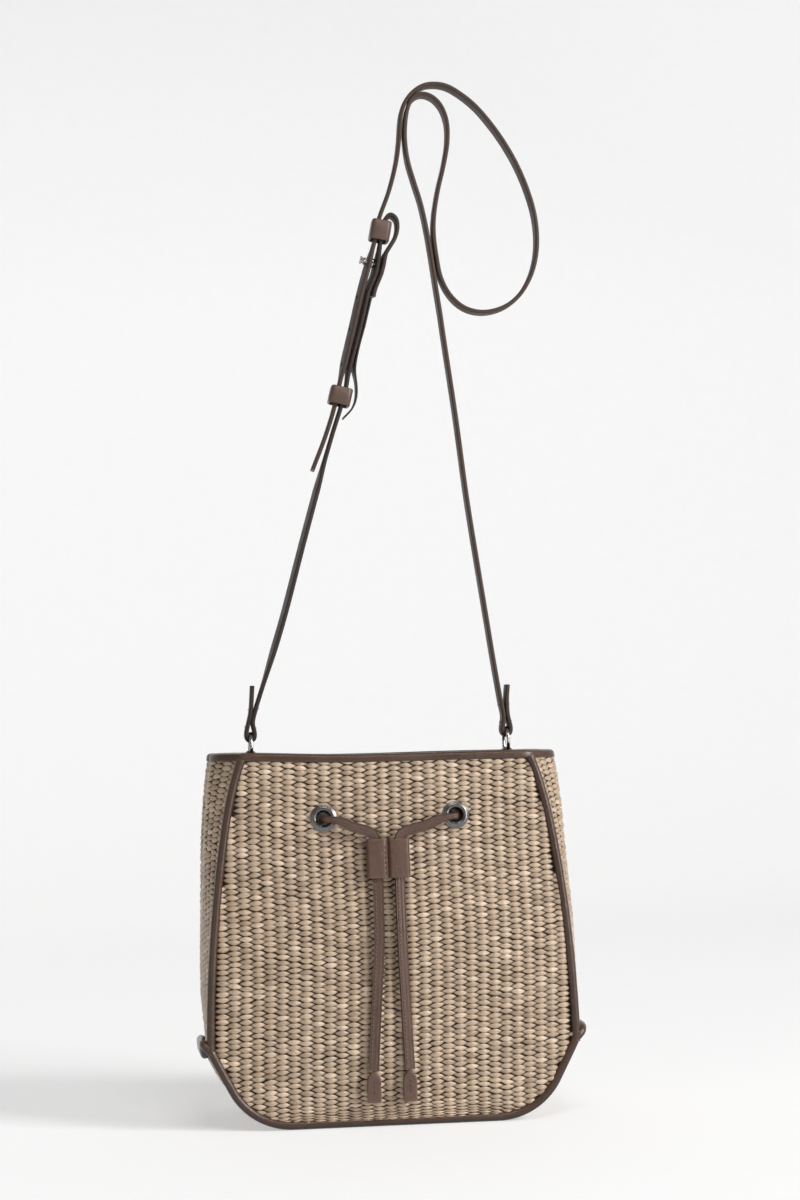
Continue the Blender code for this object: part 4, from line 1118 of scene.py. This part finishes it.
def base_piping():
    """One loop: along the front's lower edge, up the flank to the ear, across the side, and so on round."""
    quarter = [(x, -seam_half_depth(z), z) for x, z, _, _, _ in base_outline()[:-6]]
    for z in (34.0, 41.0, EAR_Z):
        quarter.append((float(flank_half_width(z)), -seam_half_depth(z), z))
    depth = seam_half_depth(EAR_Z)
    quarter += [(111.9, 0.8 - depth, 50.2), (113.1, 3.8 - depth, 52.2), (113.9, 9.0 - depth, SIDE_PIPING_Z)]
    quarter += [(114.4, -22.0, SIDE_PIPING_Z), (SIDE_PIPING_HALF_WIDTH, 0.0, SIDE_PIPING_Z)]
    to_back = [(x, -y, z) for x, y, z in quarter[-2::-1]]
    half = quarter + to_back
    loop = half + [(-x, y, z) for x, y, z in half[-2:0:-1]]
    path = respaced(smooth_route(loop + loop[:1], 6), 1.8)[:-1]
    radius = BASE_PIPING_RADIUS + 0.35
    return tube("base_piping_leather", path, radius, TRIM, closed=True, first=(0.0, 0.0, 1.0))


def lining():
    """An open-topped cloth bag inside the panels, with soft creases."""
    radius = CORNER_RADIUS - LINING_INSET
    rows = []
    for a in np.linspace(0.0, FLANK_ANGLE, 8):
        z, width = CORNER_Z - radius * math.cos(a), FLAT_HALF_WIDTH + radius * math.sin(a)
        ring = body_ring(z, -LINING_INSET)
        reach = np.abs(ring[:, 0]).max()
        rows.append(np.column_stack([ring[:, 0] * width / reach, ring[:, 1], np.full(len(ring), z)]))
    for z in np.linspace(57.0, BINDING_FOOT_Z + 2.0, 54):
        crease = 0.35 * np.sin(RING_INDEX * 0.55 + z / 9.0) * np.sin(z / 16.0) ** 2
        ring = body_ring(z, -LINING_INSET - 0.35 - np.abs(crease))
        rows.append(np.column_stack([ring, np.full(len(ring), z)]))
    outer = np.array(rows)
    middle = np.array((0.0, 0.0, 110.0))
    inner = outer + unit(middle - outer) * LINING_THICKNESS
    obj = swept("lining_cloth", np.concatenate([outer, inner[::-1]]), LINING, sharp_degrees=60.0)
    punch(obj, eyelet_cutters(-1) + eyelet_cutters(1))
    return obj


# ---- eyelets and rings ----

def eyelet(label, place):
    """A rolled flange with its barrel, whose end is clenched over inside."""
    profile = [(EYELET_HOLE, 1.5)]
    for degrees in range(150, -31, -20):
        a = math.radians(degrees)
        profile.append((5.75 + 1.5 * math.cos(a), 1.3 + 1.05 * math.sin(a)))
    profile += [(7.75, 0.55), (EYELET_FLANGE, 0.35), (7.9, 0.1), (EYELET_BARREL, 0.1)]
    profile += [(EYELET_BARREL, EYELET_THROUGH - 1.3), (EYELET_BARREL + 0.5, EYELET_THROUGH - 1.8),
                (EYELET_BARREL + 0.2, EYELET_THROUGH - 2.1), (EYELET_HOLE, EYELET_THROUGH - 1.7)]
    return turned(f"eyelet_{label}_ring", profile, 64, GUNMETAL, place, sharp_degrees=60.0)


def washer(label, place):
    """The flat ring inside the bag that the eyelet's barrel is clenched over."""
    low, high = EYELET_THROUGH - 1.4, EYELET_THROUGH - 0.5
    profile = ((EYELET_BARREL + 0.25, high), (WASHER_RADIUS - 0.3, high), (WASHER_RADIUS, high - 0.3),
               (WASHER_RADIUS, low + 0.2), (WASHER_RADIUS - 0.3, low), (EYELET_BARREL + 0.25, low))
    return turned(f"washer_{label}", profile, 48, GUNMETAL, place)


def wire_ring(name, node):
    """A round ring of wire, with the faint flat of its welded join."""
    centre = centre_mm(node)
    a = np.arange(96) * math.tau / 96
    path = np.column_stack([np.zeros(96), np.sin(a) * RING_RADIUS, np.cos(a) * RING_RADIUS]) + centre
    weld = np.exp(-((np.minimum(a, math.tau - a) - 2.6) / 0.05) ** 2)
    return tube(name, path, RING_WIRE - 0.06 * weld, NICKEL, closed=True, first=(1.0, 0.0, 0.0))


# ---- strap pieces ----

def strap_place(x, z, lean_degrees):
    """A frame at a point of the strap's plane: X across the strap's thickness, Z along it."""
    return Matrix.Translation((x, 0.0, z)) @ Matrix.Rotation(math.radians(lean_degrees), 4, "Y")


def corner_arcs(steps):
    """The four corners of a rounded oblong, going round: the signs of each and the angles along its arc."""
    for quarter, (sx, sy) in enumerate(((1, 1), (-1, 1), (-1, -1), (1, -1))):
        yield sx, sy, np.radians(np.linspace(90.0 * quarter, 90.0 * quarter + 90.0, steps))


def keeper(name, at, lean, width, height):
    """A leather loop round both straps, crowned, with rounded edges."""
    place = strap_place(*at, lean)
    half_x, half_y, half_h = width / 2, STRAP_WIDTH / 2 + 0.5 + KEEPER_WALL, height / 2
    corner, edge = 3.0, 0.55
    profile = [(-KEEPER_WALL, edge - half_h), (edge - KEEPER_WALL, -half_h), (-edge, -half_h)]
    profile += [(0.0, edge - half_h), (0.12, 0.0), (0.0, half_h - edge), (-edge, half_h)]
    profile += [(edge - KEEPER_WALL, half_h), (-KEEPER_WALL, half_h - edge)]
    sections = []
    for sx, sy, angles in corner_arcs(7):
        for a in angles:
            nx, ny = math.cos(a), math.sin(a)
            x = sx * (half_x - corner) + corner * nx
            y = sy * (half_y - corner) + corner * ny
            section = [Vector((x + nx * out, y + ny * out, level)) for out, level in profile]
            sections.append([tuple(place @ point) for point in section])
    return swept(name, sections, KEEPER, closed=True, sharp_degrees=60.0)


def strap_hole_cutters(path):
    """The row of adjustment holes below the stud."""
    along = lengths_along(path)
    start = along[int(np.argmin(np.linalg.norm(path - np.array((STUD_AT[0], 0.0, STUD_AT[1])), axis=1)))]
    profile = ((0.05, -4.0), (1.6, -4.0), (1.6, 4.0), (0.05, 4.0))
    cutters = []
    for k in range(HOLE_COUNT):
        index = int(np.argmin(np.abs(along - (start - k * HOLE_SPACING))))
        direction = tangents(path)[index]
        across = Vector((direction[2], 0.0, -direction[0]))
        turn = Vector((0, 0, 1)).rotation_difference(across).to_matrix().to_4x4()
        place = Matrix.Translation(Vector(path[index])) @ turn
        cutters.append(turned_solid("cutter", profile, 20, STRAP, place))
    return cutters


def stud_and_screw():
    """A stud with a grooved head through the long strap, and the screw that holds it from behind."""
    place = strap_place(*STUD_AT, STUD_LEAN) @ Matrix.Rotation(math.radians(-90), 4, "Y")
    profile = [(0.05, -3.2), (2.7, -3.2), (3.0, -2.9), (3.0, -2.0), (2.7, -1.7), (1.15, -1.5), (1.15, 2.1)]
    profile += [(2.2, 2.3), (2.45, 2.6), (2.45, 3.1), (1.9, 3.5), (1.9, 4.3), (2.45, 4.7), (2.45, 5.4)]
    profile += [(2.2, 5.7), (0.05, 5.8)]
    stud = turned_solid("stud_head", profile, 40, NICKEL, place)
    profile = [(0.05, -3.5), (1.2, -3.5), (1.2, -6.35), (2.6, -6.35)]
    profile += [(2.6, -6.8), (2.4, -6.95), (0.05, -6.95)]
    return stud, turned_solid("screw_head", profile, 32, NICKEL, place)


# ---- stitches ----

def stitches(name, rows, finish, length=2.2, gap=1.1, radius=0.28):
    """Short sunk threads along each row, which is (path, normals)."""
    sides = 6
    sunk = np.array((-1.0, 0.35, 0.6, 0.35, -1.0)) * radius
    size = np.array((0.45, 0.9, 1.0, 0.9, 0.45)) * radius
    rings = len(size)
    points, faces = [], []
    for path, normals in rows:
        along = lengths_along(path)
        for start in np.arange(gap, along[-1] - length, length + gap):
            marks = np.linspace(start, start + length, rings)
            centre = np.column_stack([np.interp(marks, along, path[:, k]) for k in range(3)])
            normal = unit(np.column_stack([np.interp(marks, along, normals[:, k]) for k in range(3)]))
            side = np.cross(tangents(centre), normal)
            first = len(points)
            for k in range(rings):
                for i in range(sides):
                    a = math.tau * i / sides
                    offset = math.cos(a) * normal[k] + math.sin(a) * side[k]
                    points.append(centre[k] + normal[k] * sunk[k] + size[k] * offset)
            faces += band_faces(rings, sides, False, True, first)
            faces.append([first + i for i in range(sides)])
            faces.append([first + (rings - 1) * sides + i for i in range(sides)])
    return mesh_object(name, points, faces, finish, sharp_degrees=0)


# ---- drawstring pieces ----

def string_tip(name, node):
    """A folded leather tab stitched round the string's end: square below, cut to a blunt point above."""
    low, high = box_mm(node)
    middle = (low + high) / 2
    half_w, half_t = (high - low)[0] / 2, (high - low)[1] / 2
    top, bottom = high[2], low[2]
    outline = [(-half_w + 0.5, bottom), (half_w - 0.5, bottom), (half_w, bottom + 0.5), (half_w, top - 5.0)]
    outline += [(half_w - 0.7, top - 3.3), (half_w - 2.2, top - 1.2), (half_w - 3.4, top)]
    outline += [(3.4 - half_w, top), (2.2 - half_w, top - 1.2), (0.7 - half_w, top - 3.3)]
    outline += [(-half_w, top - 5.0), (-half_w, bottom + 0.5)]
    centre = np.array((0.0, (top + bottom) / 2))
    outline = np.array(outline)
    sections = []
    for dy, shrink in ((-half_t, 0.62), (-half_t, 0.86), (-half_t + 0.25, 0.95), (-0.35 * half_t, 1.0),
                       (-0.08 * half_t, 1.0), (0.0, 0.975), (0.08 * half_t, 1.0), (0.35 * half_t, 1.0),
                       (half_t - 0.25, 0.95), (half_t, 0.86), (half_t, 0.62)):
        inset = centre + (outline - centre) * (1 - (1 - shrink) * np.array((1.0, 0.45)))
        sections.append([(middle[0] + x, middle[1] + dy, z) for x, z in inset])
    return swept(name, sections, STRING, sharp_degrees=60.0)


def slider():
    """A leather strip folded into two loops, one round each string, and stitched down between them."""
    low, high = box_mm("slider")
    middle = (low + high) / 2
    half_w, _, half_h = (high - low) / 2
    half_d, wall, half_opening = 3.3, 1.2, 4.4
    obj = slider_sleeve("slider_leather", middle, half_h, loop_outline(half_w, half_d, 2.4, 1.5, 0.9))
    opening = loop_outline(half_opening, half_d - wall, 1.6, 0.0, 0.0)
    cutters = []
    for side in (-1, 1):
        centre = middle + np.array((side * (half_w - wall - half_opening), 0.0, 0.0))
        cutters.append(slider_sleeve("cutter", centre, half_h + 3.0, opening))
    punch(obj, cutters)
    obj.data.shade_smooth()
    obj.data.set_sharp_from_angle(angle=math.radians(35.0))
    return obj


def loop_outline(half_w, half_d, corner, waist, crown):
    """A rounded oblong, going round, pinched by waist at its middle, with a crown on each half."""
    points = []
    for sx, sy, angles in corner_arcs(9):
        for a in angles:
            y = sy * (half_d - corner) + corner * math.sin(a) - sy * crown * abs(math.sin(a)) * 0.4
            points.append((sx * (half_w - corner) + corner * math.cos(a), y))
        if sx == sy:
            for u in np.linspace(1.0, -1.0, 15)[1:-1] * sy:
                x = u * abs(u) * (half_w - corner)
                hollow = waist * math.exp(-(x / 0.8) ** 2) + crown * (2 * abs(x) / half_w - 1) ** 2
                points.append((x, sy * (half_d - hollow)))
    return points


def slider_sleeve(name, middle, half_h, outline):
    """A leaning sleeve with rounded ends, from its outline seen from above."""
    sections = []
    outline = np.array(outline)
    levels = [(-1.0, 0.35), (-0.975, 0.1), (-0.9, 0.0), (-0.4, 0.0), (0.0, 0.0)]
    levels += [(-level, shrink) for level, shrink in levels[-2::-1]]
    for level, shrink in levels:
        inset = outline * (1 - shrink / np.maximum(np.abs(outline), 3.0))
        z = level * half_h
        sections.append([(middle[0] + x, middle[1] + y + SLIDER_LEAN * z, middle[2] + z) for x, y in inset])
    return swept(name, sections, STRING, sharp_degrees=40.0)


# ---- camera, light and stage ----

def camera():
    """At the photograph's angle, by its heading, pitch and roll."""
    sin, cos = math.sin, math.cos
    heading = CAMERA_AZIMUTH + CAMERA_YAW
    forward = Vector((-sin(heading) * cos(CAMERA_PITCH), cos(heading) * cos(CAMERA_PITCH), sin(CAMERA_PITCH)))
    level = Vector((cos(heading), sin(heading), 0.0))
    upright = level.cross(forward)
    across = level * cos(CAMERA_ROLL) + upright * sin(CAMERA_ROLL)
    up = upright * cos(CAMERA_ROLL) - level * sin(CAMERA_ROLL)
    data = bpy.data.cameras.new("camera")
    data.lens = CAMERA_LENS
    obj = bpy.data.objects.new("camera", data)
    bpy.context.scene.collection.objects.link(obj)
    turn = Matrix((across, up, -forward)).transposed().to_4x4()
    x, y = CAMERA_DISTANCE * sin(CAMERA_AZIMUTH), -CAMERA_DISTANCE * cos(CAMERA_AZIMUTH)
    obj.matrix_world = Matrix.Translation(Vector((x, y, CAMERA_HEIGHT))) @ turn
    bpy.context.scene.camera = obj


def area_light(name, place, target, size, watts):
    data = bpy.data.lights.new(name, "AREA")
    data.shape = "RECTANGLE"
    data.size, data.size_y = size
    data.energy = watts
    obj = bpy.data.objects.new(name, data)
    bpy.context.scene.collection.objects.link(obj)
    obj.location = place
    obj.rotation_euler = (Vector(target) - Vector(place)).to_track_quat("-Z", "Y").to_euler()


def lights():
    """A key light from the upper right, strips that shine on upright and upward leather, and a weak fill."""
    area_light("key", (2.9, -2.0, 2.3), (0.0, 0.0, 0.1), (1.1, 1.1), 108.0)
    area_light("side", (2.3, -2.3, 0.8), (0.0, 0.0, 0.15), (0.4, 1.4), 40.0)
    area_light("top", (0.2, -1.7, 2.6), (0.0, 0.0, 0.2), (1.0, 0.4), 17.0)
    area_light("fill", (-2.2, -2.4, 1.0), (0.0, 0.0, 0.2), (2.0, 1.6), 7.0)
    world = bpy.data.worlds.new("studio")
    world.use_nodes = True
    background = world.node_tree.nodes["Background"]
    background.inputs["Color"].default_value = (1.0, 0.99, 0.98, 1.0)
    background.inputs["Strength"].default_value = 0.20
    bpy.context.scene.world = world


def stage():
    """A pale floor that curves up into a backdrop."""
    floor_end, radius, height, half = 1300.0, 900.0, 2600.0, 7000.0
    profile = [(-half, 0.0), (floor_end / 2, 0.0)]
    for degrees in range(0, 91, 6):
        a = math.radians(degrees)
        profile.append((floor_end + radius * math.sin(a), radius - radius * math.cos(a)))
    profile.append((floor_end + radius, height))
    points = [(x, y, z) for y, z in profile for x in (-half, half)]
    mesh_object("sweep", points, band_faces(len(profile), 2), paper(), sharp_degrees=0, tidy=False)


# ---- the bag ----

def place_piece(obj, body, slot, *nodes):
    """Rides on a body and stands for CAD nodes, which it hides; slot is not used."""
    if nodes:
        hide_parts(*nodes)
    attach(obj, body)
    return obj


def between_keepers(path, margin=9.0, ease=14.0):
    """1 along the stretch between the keepers, falling to 0 at a margin from each."""
    low, high = KEEPER_LOWER["at"][1] + margin, KEEPER_UPPER["at"][1] - margin
    share = smooth_step((path[:, 2] - low) / ease) * smooth_step((high - path[:, 2]) / ease)
    hanging_loop_x = 25.0
    return np.where(path[:, 0] < hanging_loop_x, share, 0.0)


def below_keepers(path):
    """1 along the short strap from above its fold over the ring to near the long strap's end."""
    fold_top, tail_end = 258.0, 404.0
    return smooth_step((path[:, 2] - fold_top) / 30.0) * smooth_step((tail_end - path[:, 2]) / 25.0)


def drawn_in(path):
    """The short strap and the strip lie closer to the long strap between the keepers and below the stud."""
    share = between_keepers(path, 2.0, 22.0) * smooth_step((STUD_AT[1] - 6.0 - path[:, 2]) / 14.0)
    return path - share[:, None] * np.array((STRAP_DRAWN_IN, 0.0, 0.0))


def make_straps():
    """The two straps, with what is on them."""
    long_path = respaced(smooth_route(plane_route(STRAP_LONG_ROUTE)), 1.5)
    turn = STRAP_TURN * between_keepers(long_path)
    long_strap = flat_strap("long_strap", long_path, STRAP_WIDTH, STRAP_DRAWN_THICKNESS, STRAP, turn)
    punch(long_strap, strap_hole_cutters(long_path))
    place_piece(long_strap, "strap", "strap_leather", "strap_long")
    short_path = drawn_in(respaced(smooth_route(plane_route(STRAP_SHORT_ROUTE)), 1.2))
    turn = STRAP_TURN * between_keepers(short_path) + LOWER_TURN * below_keepers(short_path)
    short_strap = flat_strap("short_strap", short_path, STRAP_WIDTH, STRAP_DRAWN_THICKNESS, STRAP, turn)
    place_piece(short_strap, "strap", "strap_leather", "strap_short")
    strip_route = plane_route(((2.3, 500.6),) + KEEPER_STRIP_ROUTE)
    strip_path = drawn_in(respaced(smooth_route(strip_route), 1.2))
    turn = STRAP_TURN * between_keepers(strip_path)
    strip = flat_strap("strap_strip", strip_path, STRAP_WIDTH, STRIP_THICKNESS, STRAP, turn)
    place_piece(strip, "strap", "strap_leather", "keeper_strip")
    upper = place_piece(keeper("upper_keeper", **KEEPER_UPPER), "strap", "keeper_leather", "keeper_upper")
    lower = place_piece(keeper("lower_keeper", **KEEPER_LOWER), "strap", "keeper_leather", "keeper_lower")
    stud, screw = stud_and_screw()
    place_piece(stud, "strap", "polished_metal", "strap_stud")
    place_piece(screw, "strap", "polished_metal", "stud_screw")
    return long_path, short_path


def string_ribbon(name, route, first):
    """A string gathered narrower where it goes through an eyelet."""
    path = respaced(smooth_route(route), 0.9)
    _, normals = carried_normals(path, first)
    away = np.linalg.norm(np.abs(path) - np.array((EYE_X, EYE_Y + 5.0, EYE_Z)), axis=1)
    width = 0.60 + 0.40 * smooth_step((away - 4.0) / 12.0)
    obj = ribbon(name, path, normals, STRING_WIDTH, STRING_THICKNESS, STRING, width, groove=0.35)
    return obj, path, normals


def make_drawstring():
    """Two front tails that hang from the eyelets, and the run behind that goes through the bag."""
    rows = []
    for label, side, route in (("left", -1, STRING_LEFT_ROUTE), ("right", 1, STRING_RIGHT_ROUTE)):
        through = [(side * x, y, z) for x, y, z in STRING_BACK_HALF[3::-1]]
        obj, path, normals = string_ribbon(f"{label}_string", through + list(route), (side, 0.0, 0.0))
        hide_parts(f"drawstring_{label}")
        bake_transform(obj)
        tip = string_tip(f"{label}_tip", f"tip_{label}")
        place_piece(tip, "drawstring", "string_leather", f"tip_{label}")
        rows.append((path, normals))
    inside = STRING_BACK_HALF[3:]
    left_half = [(-x, y, z) for x, y, z in inside[:-1]]
    obj, path, _ = string_ribbon("back_string", left_half + list(inside[::-1]), (-1.0, 0.0, 0.0))
    place_piece(obj, "bag", "string_leather", "drawstring_back")
    return rows


def string_stitches(rows):
    """A row of stitches down each tail, nearer its left edge, below the slider."""
    lines = []
    for path, normals in rows:
        side = np.cross(tangents(path), normals)
        left = np.sign(side[:, :1]) * side * -1
        line = path + left * STRING_WIDTH * 0.22 + normals * (STRING_THICKNESS / 2 - 0.05)
        straight = path[:, 2] < 165.0
        lines.append((line[straight], normals[straight]))
    # Their thread is lightened as a painted highlight.
    obj = stitches("string_stitches", lines, HIGHLIT_THREAD, 1.5, 0.9, 0.22)
    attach(obj, "drawstring")


def strap_fold_stitches(long_path, short_path):
    """The rows that close each strap's fold over its ring."""
    rows = []
    for path, side in ((long_path, 1), (short_path, -1)):
        for z in (236.5, 247.0):
            near = path[(np.abs(path[:, 2] - z) < 0.8) & (side * path[:, 0] > 70.0)]
            outer = near[np.argmax(np.abs(near[:, 0]))]
            inner = near[np.argmin(np.abs(near[:, 0]))]
            for point, outward in ((outer, side), (inner, -side)):
                y = np.linspace(-STRAP_WIDTH * 0.42, STRAP_WIDTH * 0.42, 24)
                x = point[0] + outward * (STRAP_DRAWN_THICKNESS / 2 + 0.05)
                line = np.column_stack([np.full(24, x), y, np.full(24, point[2])])
                rows.append((line, np.tile((outward, 0.0, 0.0), (24, 1))))
    obj = stitches("strap_stitches", rows, BURGUNDY_THREAD, 1.4, 0.5, 0.3)
    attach(obj, "strap")


def slider_stitches():
    """The row that closes the slider between its loops, in front and behind."""
    low, high = box_mm("slider")
    middle = (low + high) / 2
    half_h = (high - low)[2] / 2
    z = np.linspace(-half_h + 1.0, half_h - 1.0, 40)
    rows = []
    for x, y in ((-1.7, -2.9), (-1.7, 2.9)):
        line = np.column_stack([np.full(40, middle[0] + x), middle[1] + y + SLIDER_LEAN * z, middle[2] + z])
        rows.append((line, np.tile((0.0, math.copysign(1.0, y), 0.0), (40, 1))))
    obj = stitches("slider_stitches", rows, BURGUNDY_THREAD, 2.0, 1.0, 0.3)
    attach(obj, "slider")


def tip_stitches():
    """One short row down the middle of each tip, on both faces."""
    rows = []
    for node in ("tip_left", "tip_right"):
        low, high = box_mm(node)
        middle = (low + high) / 2
        z = np.linspace(high[2] - 4.0, low[2] + 3.5, 30)
        for y, out in ((low[1], -1.0), (high[1], 1.0)):
            line = np.column_stack([np.full(30, middle[0]), np.full(30, y), z])
            rows.append((line, np.tile((0.0, out, 0.0), (30, 1))))
    obj = stitches("tip_stitches", rows, BURGUNDY_THREAD, 2.0, 1.0, 0.32)
    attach(obj, "drawstring")


def settle(obj):
    """The bag is soft: its mouth's left corner stands higher, and its base's left end sags to the back."""
    count = len(obj.data.vertices)
    points = np.empty(count * 3, np.float32)
    obj.data.vertices.foreach_get("co", points)
    x, y, z = (points.reshape(-1, 3) / MM).T
    lift = MOUTH_LIFT * smooth_step((-x - 20.0) / 85.0) * smooth_step((z - 120.0) / 90.0)
    sag = smooth_step((-x - 82.0) / 22.0) * smooth_step((y + 47.0) / 14.0)
    sag = sag * (1 - smooth_step((np.abs(z - 47.0) - 6.0) / 26.0))
    moved = np.column_stack([x + BASE_SAG[0] * sag, y, z + lift - BASE_SAG[1] * sag]) * MM
    obj.data.vertices.foreach_set("co", moved.astype(np.float32).ravel())
    obj.data.update()


def place_soft(obj, slot, *nodes):
    """Puts a piece of the soft bag in place, settled with the rest."""
    settle(obj)
    place_piece(obj, "bag", slot, *nodes)


def make_body():
    """Panels, gussets, base, binding, piping and lining, all on the bag's own body."""
    for label, side, seed in (("front", -1, 3), ("back", 1, 5)):
        obj, backing = main_panel(label, side, seed)
        place_soft(obj, "raffia", f"{label}_panel")
        place_soft(backing, "raffia")
    for label, side, seed in (("left", -1, 7), ("right", 1, 11)):
        obj, backing = gusset(label, side, seed)
        place_soft(obj, "raffia", f"{label}_gusset")
        place_soft(backing, "raffia")
    obj, backing = base_panel()
    place_soft(obj, "raffia", "base_panel")
    place_soft(backing, "raffia")
    place_soft(rim_binding(), "trim_leather", "rim_binding")
    place_soft(base_piping(), "trim_leather", "base_piping")
    for y_name, y_side in (("front", -1), ("back", 1)):
        for x_name, x_side in (("left", -1), ("right", 1)):
            label = f"{y_name}_{x_name}"
            place_soft(seam_piping(f"seam_piping_{label}", x_side, y_side), "trim_leather", f"piping_{label}")
            place = eyelet_place(x_side, y_side)
            place_piece(eyelet(label, place), "bag", "gunmetal", f"eyelet_{label}")
            place_piece(washer(label, place), "bag", "gunmetal", f"eyelet_washer_{label}")
    place_soft(lining(), "lining_cloth", "lining")


def make_rings():
    """The rings and the tabs that hold them."""
    for label, side in (("left", -1), ("right", 1)):
        node = f"ring_{label}"
        place_piece(wire_ring(f"wire_{node}", node), node, "polished_metal", node)
        path = respaced(smooth_route(plane_route(TAB_ROUTE, side)), 0.8)
        tab = flat_strap(f"{label}_tab", path, TAB_WIDTH, STRAP_THICKNESS, TRIM)
        place_soft(tab, "trim_leather", f"ring_tab_{label}")


camera()
long_path, short_path = make_straps()
strings = make_drawstring()
string_stitches(strings)
strap_fold_stitches(long_path, short_path)
place_piece(slider(), "slider", "string_leather", "slider")
slider_stitches()
tip_stitches()
make_body()
make_rings()
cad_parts["base_board"].data.materials.clear()
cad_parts["base_board"].data.materials.append(BOARD)
lights()
stage()
bpy.context.scene.view_settings.view_transform = "Standard"
